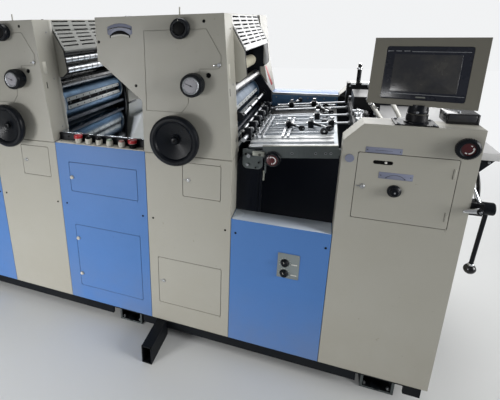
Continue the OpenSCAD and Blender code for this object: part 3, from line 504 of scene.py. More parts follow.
@dataclass
class CadDress:
    """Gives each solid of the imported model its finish."""

    finishes: dict[str, str] = field(default_factory=lambda: {
        "base_frame": "base", "transverse_feet": "base", "support_tube": "base", "side_frames": "casting",
        "unit1_upper_cover": "cream", "unit1_lower_cover": "cream",
        "unit2_upper_cover": "cream", "unit2_lower_cover": "cream",
        "rear_covers": "cream", "top_covers": "cream_top",
        # Unit 1's guard takes the grey finish as painted shade of the white guard paint.
        "unit1_ink_guard": "grey", "unit2_ink_guard": "white",
        "mid_panel": "blue", "bay_panels": "blue", "rear_panels": "blue",
        "button_ledge": "pale", "sheet_plate": "polished",
        "operator_console": "cream", "feeder_rear_cabinet": "cream", "delivery_cabinets": "cream",
        "monitor_post": "black", "monitor": "screen_body",
        "feed_board": "rail_steel", "hold_down_rods": "bright", "feeder_head": "black",
        "feeder_pile_board": "white", "delivery_rails": "casting", "delivery_pile_board": "white",
        "ink_rollers": "roller",
        # Unit 2's plate cylinder takes the darker plate metal as painted shade.
        "unit1_plate_cylinder": "plate", "unit2_plate_cylinder": "plate_painted_shade",
        "unit1_blanket_cylinder": "blanket", "unit2_blanket_cylinder": "blanket",
        "unit1_impression_cylinder": "ground", "unit2_impression_cylinder": "ground",
        "unit1_handwheel": "plastic", "unit2_handwheel": "plastic",
        "pile_lever": "plastic", "lever_bracket": "black",
        "unit1_top_knob": "plastic", "unit2_top_knob": "plastic",
        "unit1_dial_knob": "plastic", "unit2_dial_knob": "plastic",
        "console_door": "cream", "mid_upper_door": "blue", "mid_lower_door": "blue",
        "unit1_small_door": "cream", "unit2_small_door": "cream", "unit2_lower_door": "cream",
    })

    def build(self) -> None:
        """Put the finish into every slot of each CAD object."""
        for name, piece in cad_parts.items():
            material = FINISHES.get(self.finishes[name])
            if not piece.material_slots:
                piece.data.materials.append(material)
            for entry in piece.material_slots:
                entry.material = material
            log.info("dressed %s, %d slots", name, len(piece.material_slots))


def front(x: float, y: float, z: float) -> Matrix:
    """A place on a face that looks at the operator, with its x to the right, y up and z out."""
    return Matrix(((1, 0, 0, x), (0, 0, -1, y), (0, 1, 0, z), (0, 0, 0, 1)))


def rear(x: float, y: float, z: float) -> Matrix:
    """A place on a face that looks to the rear, with its x to the left, y up and z out."""
    return Matrix(((-1, 0, 0, x), (0, 0, 1, y), (0, 1, 0, z), (0, 0, 0, 1)))


def move(x: float, y: float, z: float) -> Matrix:
    """A shift along the three axes."""
    return Matrix.Translation((x, y, z))


def spin(degrees: float, axis: str = "Z") -> Matrix:
    """A turn about one axis."""
    return Matrix.Rotation(math.radians(degrees), 4, axis)


def way(direction: Sequence[float], at: Sequence[float] = ORIGIN) -> Matrix:
    """A place whose z axis points in a direction.

    Args:
        direction: where the z axis points.
        at: the place's origin.

    Returns:
        The matrix from that place's own axes to the outer ones.
    """
    spot = Vector(UP).rotation_difference(Vector(direction)).to_matrix().to_4x4()
    spot.translation = Vector(at)
    return spot


def round_corners(low: Flat, high: Flat, radius: float, step: int = 15) -> list[Flat]:
    """Outline of a rectangle with round corners.

    Args:
        low: its lower left corner.
        high: its upper right corner.
        radius: radius of its corners.
        step: degrees from one point of a corner to the next.

    Returns:
        Its points, from the right side over the top and round.
    """
    left, right, foot, top = low[0] + radius, high[0] - radius, low[1] + radius, high[1] - radius
    outline = []
    for x, y, first in ((right, top, 0), (left, top, 90), (left, foot, 180), (right, foot, 270)):
        for turn in range(first, first + 91, step):
            outline.append((x + radius * math.cos(math.radians(turn)), y + radius * math.sin(math.radians(turn))))
    return outline


def show(name: str, data: bpy.types.ID) -> bpy.types.Object:
    """Put new data into the scene as an object.

    Args:
        name: the object's name.
        data: its mesh, camera or lamp.

    Returns:
        The new object.
    """
    new = bpy.data.objects.new(name, data)
    bpy.context.scene.collection.objects.link(new)
    return new


class Work:
    """A mesh of one piece in the making, in millimetres, with several finishes."""

    def __init__(self, name: str, finish: str, body: str = "press_body", base: Matrix | None = None) -> None:
        """Start an empty piece.

        Args:
            name: the piece's name.
            finish: short name of its first finish.
            body: the body that it moves with.
            base: the place that its coordinates start from.
        """
        self.name = name
        self.finishes: list[str] = []
        self.body = body
        self.base = base or Matrix.Identity(4)
        self.mesh = bmesh.new()
        self.use(finish)

    def use(self, finish: str) -> "Work":
        """Choose the finish of what is added next.

        Args:
            finish: its short name.

        Returns:
            The piece itself, for the call that follows.
        """
        if finish not in self.finishes:
            self.finishes.append(finish)
        self.number = self.finishes.index(finish)
        return self

    def add(self, part: bmesh.types.BMesh, spot: Matrix) -> None:
        """Put a finished shape in its place.

        Args:
            part: the shape, which is used up.
            spot: where it goes, from the piece's base.
        """
        bmesh.ops.recalc_face_normals(part, faces=part.faces[:])
        bmesh.ops.transform(part, matrix=self.base @ spot, verts=part.verts[:])
        for face in part.faces:
            face.material_index = self.number
            face.smooth = True
        passing = bpy.data.meshes.new("passing")
        part.to_mesh(passing)
        part.free()
        self.mesh.from_mesh(passing)
        bpy.data.meshes.remove(passing)

    def soften(self, part: bmesh.types.BMesh, edges: Sequence[bmesh.types.BMEdge], radius: float) -> None:
        """Round some edges of a shape."""
        bmesh.ops.bevel(part, geom=edges, offset=radius, segments=2, profile=0.5, affect="EDGES", clamp_overlap=True,
                        material=-1)

    def block(self, low: Sequence[float], high: Sequence[float], edge: float = 0.8, spot: Matrix | None = None) -> None:
        """Add a block with rounded edges.

        Args:
            low: its lowest corner.
            high: its highest corner.
            edge: radius of its edges.
            spot: where its coordinates start.
        """
        part = bmesh.new()
        low, high = Vector(low), Vector(high)
        bmesh.ops.create_cube(part, size=1.0)
        bmesh.ops.scale(part, vec=high - low, verts=part.verts[:])
        bmesh.ops.translate(part, vec=(low + high) / 2, verts=part.verts[:])
        self.soften(part, part.edges[:], edge)
        self.add(part, spot or Matrix.Identity(4))

    def ribs(self, count: int, low: Sequence[float], high: Sequence[float], edge: float) -> None:
        """Add equal blocks in a circle about the z axis.

        Args:
            count: their number.
            low: lowest corner of the first one.
            high: its highest corner.
            edge: radius of their edges.
        """
        for i in range(count):
            self.block(low, high, edge, spin(360 * i / count))

    def turned(self, profile: Sequence[Flat], at: Sequence[float] = ORIGIN, axis: Sequence[float] = UP,
               steps: int = 40, ring: bool = False, angle: float = 360.0, start: float = 0.0) -> None:
        """Add a turned shape.

        Args:
            profile: radius and height of its points, from the foot on the axis to the top on the axis.
            at: where its foot stands.
            axis: where it points.
            steps: number of steps round it.
            ring: join the last point to the first one.
            angle: how far it is turned, in degrees.
            start: where the turning starts, in degrees.
        """
        part = bmesh.new()
        verts = [part.verts.new((r, 0.0, h)) for r, h in profile]
        pairs = list(zip(verts, verts[1:])) + ([(verts[-1], verts[0])] if ring else [])
        edges = [part.edges.new(pair) for pair in pairs]
        whole = angle >= 360.0
        bmesh.ops.spin(part, geom=verts + edges, cent=ORIGIN, axis=UP, dvec=ORIGIN,
                       angle=math.radians(angle), steps=steps, use_merge=whole, use_duplicate=False)
        bmesh.ops.remove_doubles(part, verts=part.verts[:], dist=1e-4)
        if not whole:
            bmesh.ops.holes_fill(part, edges=[e for e in part.edges if e.is_boundary], sides=0)
        self.add(part, way(axis, at) @ spin(start))

    def ring(self, inner: float, outer: float, low: float, high: float, at: Sequence[float] = ORIGIN,
             axis: Sequence[float] = UP, steps: int = 40, edge: Flat = (0, 0), angle: float = 360.0,
             start: float = 0.0) -> None:
        """Add a ring or a part of one.

        Args:
            inner: radius of its hole.
            outer: its radius.
            low: height of its underside.
            high: height of its top.
            at: where its axis starts.
            axis: where it points.
            steps: number of steps round it.
            edge: width and height of the slant on its outer edges.
            angle: how far it reaches round, in degrees.
            start: where it begins, in degrees.
        """
        wide, deep = edge
        side = [(outer, low), (outer, high)]
        if wide:
            side = [(outer - wide, low), (outer, low + deep), (outer, high - deep), (outer - wide, high)]
        self.turned([(inner, low), *side, (inner, high)], at, axis, steps, True, angle, start)

    def disc(self, radius: float, low: float, high: float, at: Sequence[float] = ORIGIN,
             axis: Sequence[float] = UP, steps: int = 40, edge: Flat = (0, 0), dome: float = 0.0) -> None:
        """Add a disc.

        Args:
            radius: its radius.
            low: height of its underside.
            high: height of its top.
            at: where its axis starts.
            axis: where it points.
            steps: number of steps round it.
            edge: width and height of the slant on its top edge.
            dome: height of its middle over its top edge.
        """
        wide, deep = edge
        rim = [(radius, high - deep), (radius - wide, high)] if wide else [(radius, high)]
        self.turned([(0, low), (radius, low), *rim, (0, high + dome)], at, axis, steps)

    def rod(self, start: Sequence[float], end: Sequence[float], radius: float, tip: float | None = None,
            edge: float = 0.6, steps: int = 24) -> None:
        """Add a round bar or a cone between two points, with rounded ends.

        Args:
            start: middle of its first end.
            end: middle of its other end.
            radius: radius at the first end.
            tip: radius at the other end.
            edge: radius of the end edges.
            steps: number of sides.
        """
        start, end = Vector(start), Vector(end)
        length = (end - start).length
        last = radius if tip is None else tip
        side = [(radius - edge, 0), (radius, edge), (last, length - edge), (last - edge, length)]
        self.turned([(0, 0), *side, (0, length)], start, end - start, steps)

    def ball(self, at: Sequence[float], radius: float, steps: int) -> None:
        """Add a ball.

        Args:
            at: its middle.
            radius: its radius.
            steps: number of steps round it.
        """
        count = steps // 2
        turns = [math.pi * i / count for i in range(1, count)]
        arc = [(radius * math.sin(turn), -radius * math.cos(turn)) for turn in turns]
        self.turned([(0.0, -radius), *arc, (0.0, radius)], at, steps=steps)

    def plate(self, outline: Sequence[Flat], low: float, high: float, edge: float = 0.3,
              spot: Matrix | None = None) -> None:
        """Add a flat plate of any outline.

        Args:
            outline: its corners in x and y.
            low: height of its underside.
            high: height of its top.
            edge: radius of its rim.
            spot: where its coordinates start.
        """
        part = bmesh.new()
        face = part.faces.new([part.verts.new((x, y, low)) for x, y in outline])
        grown = bmesh.ops.extrude_face_region(part, geom=[face])["geom"]
        top = [g for g in grown if isinstance(g, bmesh.types.BMVert)]
        bmesh.ops.translate(part, vec=(0, 0, high - low), verts=top)
        self.soften(part, [e for e in part.edges if all(abs(v.co.z - high) < 1e-4 for v in e.verts)], edge)
        self.add(part, spot or Matrix.Identity(4))

    def tablet(self, low: Flat, high: Flat, radius: float, back: float, face: float, edge: float = 0.3,
               spot: Matrix | None = None) -> None:
        """Add a flat plate with round corners.

        Args:
            low: its lower left corner.
            high: its upper right corner.
            radius: radius of its corners.
            back: height of its underside.
            face: height of its top.
            edge: radius of its rim.
            spot: where its coordinates start.
        """
        self.plate(round_corners(low, high, radius), back, face, edge, spot)

    def pipe(self, path: Sequence[Sequence[float]], radius: float, steps: int = 12) -> None:
        """Add a round tube along a path.

        Args:
            path: the points that it follows.
            radius: its radius.
            steps: number of sides.
        """
        part = bmesh.new()
        points = [Vector(p) for p in path]
        rings = []
        aim = (points[1] - points[0]).to_track_quat("Z", "Y")
        for i, point in enumerate(points):
            ahead = points[min(i + 1, len(points) - 1)] - points[max(i - 1, 0)]
            aim = (aim @ Vector(UP)).rotation_difference(ahead) @ aim
            spot = aim.to_matrix().to_4x4()
            spot.translation = point
            end = i in (0, len(points) - 1)
            made = bmesh.ops.create_circle(part, cap_ends=end, segments=steps, radius=radius, matrix=spot)["verts"]
            rings.append({e for v in made for e in v.link_edges})
        for first, second in zip(rings, rings[1:]):
            bmesh.ops.bridge_loops(part, edges=list(first | second))
        self.add(part, Matrix.Identity(4))

    def screw(self, at: Sequence[float], radius: float, height: float, axis: Sequence[float] = UP) -> None:
        """Add a cap screw's head with its socket.

        Args:
            at: middle of the head's foot.
            radius: radius of the head.
            height: height of the head.
            axis: where it points.
        """
        rim, well, floor = radius * 0.12, radius * 0.5, height * 0.45
        self.turned([(0, floor), (well, floor), (well, height), (radius - rim, height), (radius, height - rim),
                     (radius, 0), (0, 0)], at, axis, 20)

    def nut(self, at: Sequence[float], radius: float, height: float, axis: Sequence[float] = UP) -> None:
        """Add a hexagon nut on the end of a stud.

        Args:
            at: middle of its foot.
            radius: radius over its corners.
            height: its height.
            axis: where it points.
        """
        part = bmesh.new()
        bmesh.ops.create_cone(part, cap_ends=True, cap_tris=False, segments=6, radius1=radius, radius2=radius,
                              depth=height)
        bmesh.ops.translate(part, vec=(0, 0, height / 2), verts=part.verts[:])
        self.soften(part, part.edges[:], radius * 0.07)
        self.add(part, way(axis, at))
        self.disc(radius * 0.5, height * 0.5, height * 1.45, at, axis, 16, (radius * 0.1, height * 0.15))

    def finish(self, slot: Slot, angle: float = 35.0) -> bpy.types.Object:
        """Make the piece and let it ride.

        Args:
            slot: the record's slot; not used.
            angle: edges sharper than this many degrees stay sharp.

        Returns:
            The new object.
        """
        data = bpy.data.meshes.new(self.name)
        self.mesh.to_mesh(data)
        self.mesh.free()
        data.transform(Matrix.Scale(MILLIMETRE, 4))
        data.set_sharp_from_angle(angle=math.radians(angle))
        for finish in self.finishes:
            data.materials.append(FINISHES.get(finish))
        piece = show(self.name, data)
        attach(piece, self.body)
        log.info("made %s, %d faces", self.name, len(data.polygons))
        return piece


@dataclass(frozen=True)
class Layout:
    """Places that several sub-assemblies share, in millimetres."""

    unit1: float = -350.0
    unit2: float = 540.0
    unit_width: float = 397.0
    front: float = -525.0
    cover: float = -530.0
    frame_front: float = -395.0
    frame_back: float = 245.0
    rear: float = 525.0
    seam: float = 1002.0


PLAN = Layout()
EAR: tuple[Flat, ...] = ((-56, 1566), (-41, 1524), (11, 1432), (22.4, 1331))


@dataclass
class UnitTrim:
    """Knob faces, screws, bars and rings of one printing unit."""

    number: int
    right: float
    dial_at: Flat = (-158.0, 1314.0)
    cap_at: Flat = (-211.0, 1528.0)
    wheel_at: Flat = (-232.0, 1084.0)
    plate_at: Flat = (-118.0, 1152.0)
    blanket_at: Flat = (-150.0, 950.0)
    impression_at: Flat = (-215.0, 752.0)
    bearer_radius: float = 98.1
    arcs: tuple[Point, ...] = (
        (131.0, 1422.0, 64.2), (66.0, 1459.0, 44.0), (125.0, 1386.0, 69.4), (130.6, 1373.4, 69.8), (160.0, 1380.5,
                                                                                                    70.3))
    holes: tuple[Point, ...] = ((-122, 1553, 5), (-102, 1349, 9), (-590, 1480, 5), (-422, 1298, 5))

    def build(self) -> None:
        """Make every piece of the unit's trim."""
        self.dial()
        self.cap()
        self.wheel_hub()
        self.cover_fittings()
        self.arch()
        self.cylinder_fittings("plate", self.plate_at, 5.0)
        self.cylinder_fittings("blanket", self.blanket_at, 12.0)
        self.cylinder_fittings("impression", self.impression_at, None)
        self.bar_skins()
        self.guard_fittings()
        self.lid_fittings()

    def work(self, piece: str, finish: str, base: Matrix, body: str = "") -> Work:
        """Start a piece of this unit."""
        return Work(f"unit{self.number}_{piece}", finish, f"unit{self.number}_{body}" if body else "press_body", base)

    def knob(self, at: Flat, depth: float = PLAN.cover) -> Matrix:
        """The place of a knob on the upper cover."""
        return front(self.right + at[0], depth, at[1])

    def dial(self) -> None:
        """Steel bezel, pale face, hand and marks of the dial knob."""
        w = self.work("dial_face", "ground", self.knob(self.dial_at, PLAN.cover - 1.0), "dial_knob")
        w.turned([(28.5, 55.2), (28.5, 57.6), (30.0, 60.2), (32.6, 60.8), (34.0, 59.4), (34.0, 55.2)], ring=True,
                 steps=64)
        w.use("dial").disc(28.6, 55.3, 56.9, steps=48, dome=0.2)
        w.use("ink").ribs(12, (24.4, -0.4, 56.6), (27.0, 0.4, 57.3), 0.1)
        w.block((-9.0, -0.9, 57.4), (25.0, 0.9, 58.0), 0.25, spin(158))
        w.disc(2.8, 57, 59.2, steps=20, edge=(0.8, 0.6))
        w.use("plastic").ribs(40, (44.5, -1.4, 17.0), (47.0, 1.4, 49.0), 0.7)
        w.finish(Slot.PLASTIC)

    def cap(self) -> None:
        """Inner disc, ring and pointer of the top knob."""
        w = self.work("top_knob_cap", "plastic", self.knob(self.cap_at, PLAN.cover - 1.0), "top_knob")
        w.use("ink").disc(23.4, 33.2, 35.4, steps=48, edge=(1.9, 0.8), dome=0.4)
        w.use("plastic").ribs(34, (37.5, -1.4, 15.0), (40.0, 1.4, 28.0), 0.7)
        w.use("pale").block((27.5, -0.9, 35.6), (35.0, 0.9, 36.6), 0.3, spin(96))
        w.finish(Slot.PLASTIC)

    def wheel_hub(self) -> None:
        """Hub cap and screw in the middle of the handwheel."""
        w = self.work("wheel_hub", "plastic", self.knob(self.wheel_at), "handwheel")
        w.turned([(0, 52.5), (15.5, 52.5), (15.5, 55.0), (12.5, 57.5), (9.0, 58.4), (0, 58.4)], steps=40)
        w.use("ink").screw((0, 0, 58.0), 5.4, 2.0)
        w.finish(Slot.PLASTIC)

    def cover_fittings(self) -> None:
        """Dark discs deep in the holes as painted shade, rims round the holes, the lock of the access panel and the
        screws of the lower cover.
        """
        w = self.work("cover_fittings", "ink", self.knob((0, 0)))
        for x, z, r in self.holes:
            # Each dull black disc sits inside its hole as painted shade.
            w.disc(r - 0.1, -4.0, -1.2, (x, z, 0), steps=24, edge=(0.9, 0.8), dome=0.2)
            w.turned([(r - 0.2, -0.4), (r - 0.2, 0.2), (r + 0.5, 0.6), (r + 1.3, 0.3), (r + 1.3, -0.4)], (x, z, 0),
                     ring=True, steps=28)
        w.use("ground").disc(7.6, 4.6, 7, (-60, 1390, 0), steps=24, edge=(1, 1), dome=0.4)
        w.use("chrome").block((-84, 1386.6, 0.4), (-67, 1389.4, 1.6), 0.5)
        w.finish(Slot.CREAM)
        w = self.work("cover_screws", "ink", self.knob((0, 0), PLAN.front))
        w.rod((-PLAN.unit_width + 1, PLAN.seam + 1.0, -0.6), (-1, PLAN.seam + 1.0, -0.6), 1.5, edge=0.4, steps=10)
        for x in (-370, -24):
            w.screw((x, 676, -0.4), *PANEL_SCREW)
        w.finish(Slot.CREAM)

    def arch(self) -> None:
        """Curved plate over the arched slot, a dark band of painted shade along its groove, and the white scale inside
        it.
        """
        w = self.work("arch_scale", "label", self.knob((0, 0)))
        arcs = []
        for radius, middle, low in self.arcs:
            turns = [math.radians(low + (180 - 2 * low) * i / 24) for i in range(25)]
            arcs.append([(radius * math.cos(a) - 486.0, middle + radius * math.sin(a)) for a in turns])
        outer, inner, top, foot, groove = arcs
        w.plate(outer + [(-544, 1512)] + inner[::-1] + [(-428, 1512)], -0.2, 1.2)
        # The dark band along the groove arc is painted shade of the groove.
        w.use("bezel").plate(groove + [(x, z - 4.5) for x, z in groove[::-1]], 0.6, 1.6, 0.2)
        w.use("ink").plate(inner + top[::-1], -0.2, 0.5, 0.1)
        w.use("scale").plate(top + foot[::-1], -0.2, 1.0, 0.2)
        w.use("ink")
        for side in (-1, 1):
            w.block((side * 45 - 488.5, 1495.5, -0.2), (side * 45 - 483.5, 1505.0, 1.3), 0.5)
        for x in range(-35, 36, 7):
            z = 1506.0 - 0.006 * x ** 2
            w.block((x - 486.3, z, 0.8), (x - 485.7, z + 4, 1.2), 0.1)
        w.finish(Slot.CREAM)

    def cylinder_fittings(self, kind: str, at: Flat, gap: float | None) -> None:
        """Bearer rings of a cylinder, and the clamping bars in its gap over a dark strip of painted shade.

        Args:
            kind: the cylinder's name.
            at: its middle, from the unit's right edge.
            gap: angle of the gap over the level, or None.
        """
        centre = move(self.right + at[0], 0, at[1])
        w = self.work(f"{kind}_bars", "bearer", centre, f"{kind}_cylinder")
        for y in (-386.5, 220.5):
            w.ring(60, self.bearer_radius, 0, 16, (0, y, 0), TO_REAR, 96, (0.8, 0.8))
        if gap is not None:
            w.base = centre @ spin(-gap, "Y")
            # A dull black strip on the floor of the gap is painted shade.
            w.use("ink").block((73.5, -360, -11.8), (75.0, 210, 11.8), 0.3)
            for side in (-1, 1):
                w.use("clamp").block((88.0, -352.5, side * 21 - 9.6), (91.4, 202.5, side * 21 + 9.6), 0.9)
                for i in range(9):
                    w.use("ink").screw((91.1, -332 + 64.5 * i, side * 21), 3.6, 1.5, TO_RIGHT)
            for i in range(6):
                w.use("ground").screw((74.8, -310 + 94 * i, 0), 5.0, 6.0, TO_RIGHT)
        w.finish(Slot.GROUND)

    def sleeve(self, w: Work, at: Flat, radius: float, short: float, steps: int) -> None:
        """Add a thin skin round a bar that lies across the machine.

        Args:
            w: the piece in the making.
            at: the bar's middle from the unit's right edge.
            radius: radius of the skin.
            short: how far it ends before the side frames.
            steps: number of sides.
        """
        low = PLAN.frame_front + short
        w.ring(radius - 3, radius, 0, PLAN.frame_back - short - low, (at[0], low, at[1]), TO_REAR, steps, (0.6, 0.6))

    def crossed_groove(self, w: Work, at: Flat, radius: float, low: float, high: float) -> None:
        """Add the two crossing spiral grooves of a rod as dark lines.

        Args:
            w: the piece in the making.
            at: the rod's middle.
            radius: radius on which the lines run.
            low: where they start.
            high: where they end.
        """
        turns, count = 11, 154
        for hand in (-1, 1):
            path = []
            for i in range(count + 1):
                a, y = hand * 2 * math.pi * turns * i / count, low + (high - low) * i / count
                path.append((at[0] + radius * math.cos(a), y, at[1] + radius * math.sin(a)))
            w.pipe(path, 1.7, 6)

    def bar_skins(self) -> None:
        """Bright, rubber and cream skins of the rollers and bars."""
        w = self.work("roller_skins", "bright", move(self.right, 0, 0))
        low, high = PLAN.frame_front, PLAN.frame_back
        if self.number == 1:
            for at in ((-6, 1386), (4, 1336)):
                self.sleeve(w.use("bright"), at, 15.5, 7, 32)
                self.crossed_groove(w.use("ink"), at, 14.9, low + 14, high - 14)
                for y in (low + 7, high - 17):
                    w.ring(8, 17.5, 0, 10, (at[0], y, at[1]), TO_REAR, 32)
        else:
            self.sleeve(w.use("cream_roller"), (-78, 1340), 30.5, 9, 48)
            self.sleeve(w.use("bright"), (4, 1155), 7.4, 7, 24)
            for y in (low + 40, low + 215, low + 395, high - 50):
                w.use("ink").ring(4, 11, 0, 12, (4, y, 1155), TO_REAR, 28)
        self.sleeve(w.use("navy"), (-28, 1075), 10.4, 1, 28)
        w.finish(Slot.RUBBER)

    def guard_fittings(self) -> None:
        """Cream skin of the front ear, screws and stiffening edges of the slotted guard."""
        # Unit 1's guard fittings take the grey finish as painted shade of the white guard paint.
        finish = "grey" if self.number == 1 else "white"
        w = self.work("guard_fittings", finish, move(self.right, 0, 0))
        ear = [*EAR, (-7, 1305.5), (-58, 1305.5), (-68, 1500)]
        w.use("cream").plate(ear, 0.0, 0.7, spot=front(0, PLAN.frame_front, 0))
        out, down, bend = Vector((0.870, 0.0, 0.492)), Vector((0.492, 0.0, -0.870)), Vector((-36.0, 0.0, 1526.0))
        for y in (-386.0, 236.0):
            for s in (12.0, 93.0):
                w.use("ground").screw(bend + down * s + Vector((0, y, 0)) + out * 0.1, 4.2, 2.6, out)
        for y in (-394.0, 241.0):
            top = bend + Vector((0, y, 0)) + out * 0.2
            w.use(finish).rod(top + down * 2, top + down * 104, 1.6, edge=0.3, steps=10)
        low, high = PLAN.frame_front + 1, PLAN.frame_back - 1
        w.rod((bend.x, low, bend.z), (bend.x, high, bend.z), 1.3, edge=0.3, steps=12)
        w.finish(Slot.GREY if self.number == 1 else Slot.WHITE)

    def lid_fittings(self) -> None:
        """Hinges and buffers on the lid."""
        w = self.work("lid_fittings", "ground", move(self.right, 0, 0))
        for y in (-330, 180):
            w.use("ground").block((-597, y, 1580.2), (-560, y + 60, 1582.4), 0.7)
            w.rod((-560, y, 1583), (-560, y + 60, 1583), 4.0)
            for x in (-589, -573):
                for dy in (14, 46):
                    w.screw((x, y + dy, 1582.2), 3.2, 1.4)
        for x in (-585, -80):
            for y in (-412, 262):
                w.use("ink").turned([(0, 0), (6, 0), (5.4, 2.6), (0, 3.2)], (x, y, 1580.0), steps=20)
        w.finish(Slot.PALE)


@dataclass(frozen=True)
class DoorPlan:
    """A door's name, its left and lower edges, its size and its locks."""

    name: str
    left: float
    low: float
    width: float
    height: float
    blue: bool
    locks: tuple[Flat, ...]


@dataclass
class DoorFittings:
    """Locks and hinge leaves of the six doors."""

    doors: tuple[DoorPlan, ...] = (
        DoorPlan("mid_upper_door", -278, 752, 372, 154, True, ((11, 75),)),
        DoorPlan("mid_lower_door", -278, 190, 372, 370, True, ((11, 76), (11, 292))),
        DoorPlan("unit1_small_door", -568, 812, 170, 158, False, ((26, 79),)),
        DoorPlan("unit2_small_door", 322, 812, 170, 158, False, ((26, 79),)),
        DoorPlan("unit2_lower_door", 189, 210, 312, 258, False, ((26, 129),)),
        DoorPlan("console_door", 1001, 828, 307, 259, False, ((26, 129.5),)),
    )

    def build(self) -> None:
        """Make the locks of each door."""
        for door in self.doors:
            self.lock(door)
        self.seams()
        self.leaves()

    def seams(self) -> None:
        """Dark cord in the gap round each door."""
        w = Work("door_seams", "ink")
        for door in self.doors:
            high = (door.left + door.width + 1, door.low + door.height + 1)
            path = [(x, PLAN.front + 1.3, z) for x, z in round_corners((door.left - 1, door.low - 1), high, 7.0, 30)]
            w.pipe(path + path[:1], 0.85, 6)
        w.finish(Slot.RUBBER)

    def lock(self, door: DoorPlan) -> None:
        """Lock cylinders with their catch bars, or round knobs on the blue doors.

        Args:
            door: the door.
        """
        w = Work(f"{door.name}_locks", "chrome", door.name, front(door.left, PLAN.front, door.low))
        for x, z in door.locks:
            if door.blue:
                w.use("ground").turned([(8.2, -0.2), (8.2, 1.2), (9.8, 1.2), (10.4, 0.6), (10.4, -0.2)], (x, z, 0),
                                       ring=True, steps=32)
                w.use("pale").turned([(0, 2.8), (8.6, 2.8), (9.4, 4.6), (9.0, 7.0), (7.4, 8.8), (4.2, 9.8),
                                      (0, 10.1)], (x, z, 0), steps=32)
            else:
                w.use("ground").turned([(8.1, -0.2), (8.1, 1.0), (9.6, 1.0), (10.0, 0.6), (10.0, -0.2)], (x, z, 0),
                                       ring=True, steps=32)
                w.use("chrome").disc(7, 2.8, 4.9, (x, z, 0), steps=28, edge=(0.8, 0.7))
                w.use("ink").block((x - 0.5, z - 3.0, 4.6), (x + 0.5, z + 3.0, 5.1), 0.15)
                w.use("ground").block((x - 22.0, z - 1.6, -0.2), (x - 9.5, z + 1.6, 1.1), 0.5)
        w.finish(Slot.BLUE if door.blue else Slot.CREAM)

    def leaves(self) -> None:
        """The two hinge leaves on the console door's right edge."""
        w = Work("console_door_hinge_leaves", "cream", "console_door", front(1308, PLAN.front, 0))
        for low, high in ((1019, 1055), (858, 892)):
            w.use("cream").block((-12.6, low, -0.2), (-4.5, high, 1.1), 0.5)
            w.use("ink").block((-13.3, low - 0.8, -0.2), (-12.5, high + 0.8, 0.5), 0.2)
            for z in (low + 8, high - 8):
                w.use("cream").screw((-8.6, z, 0.9), 1.9, 0.9)
        w.finish(Slot.CREAM)


@dataclass
class PanelFittings:
    """Screws of the blue panels and the console, and the dials of the feeder bay."""

    screws: tuple[Flat, ...] = ((-317, 677), (117, 677), (562, 671), (927, 673), (-1129, 677), (-765, 677))

    def build(self) -> None:
        """Make the panel screws and the dial plate."""
        self.panel_screws()
        self.dials()

    def panel_screws(self) -> None:
        """Dark cap screws in the front of the panels."""
        w = Work("panel_screws", "ink", base=front(0, PLAN.front, 0))
        for x, z in self.screws:
            w.screw((x, z, -0.4), *PANEL_SCREW)
        w.finish(Slot.BLUE)

    def dials(self) -> None:
        """Grey dial plate with two pointer knobs and their marks."""
        w = Work("bay_dials", "dial_plate", base=front(540, PLAN.front - 2.0, 0))
        w.tablet((205.6, 497.6), (294.4, 616.4), 5.0, -0.1, 0.7)
        for x, z in ((236, 572), (235, 521)):
            w.use("plastic").turned([(0, 0.6), (17.5, 0.6), (17.5, 4.0), (15.5, 6.0), (14.2, 7.5), (13.6, 15.2),
                                     (12.6, 16.4), (0, 16.8)], (x, z, 0), steps=36)
            w.use("scale").block((-0.8, 3.0, 16.4), (0.8, 12.6, 17.3), 0.3, move(x, z, 0) @ spin(HAND_TURN))
            for i in range(9):
                turn = math.radians(-30 + 30 * i)
                w.use("scale").disc(1.3, 0.5, 1.1, (x + 22.5 * math.cos(turn), z + 22.5 * math.sin(turn), 0),
                                    steps=12, dome=0.1)
        for x, z in ((211, 503), (289, 503), (211, 611), (289, 611)):
            w.use("ground").screw((x, z, 0.6), 2.4, 1.2)
        w.use("scale").tablet((262, 515), (286, 519), 1.0, 0.6, 1.0, 0.1)
        w.tablet((262, 566), (286, 570), 1.0, 0.6, 1.0, 0.1)
        w.finish(Slot.BLUE)


class Head(Enum):
    """Kind of head that a button carries."""

    MUSHROOM = "mushroom"
    SELECTOR = "selector"
    LENS = "lens"


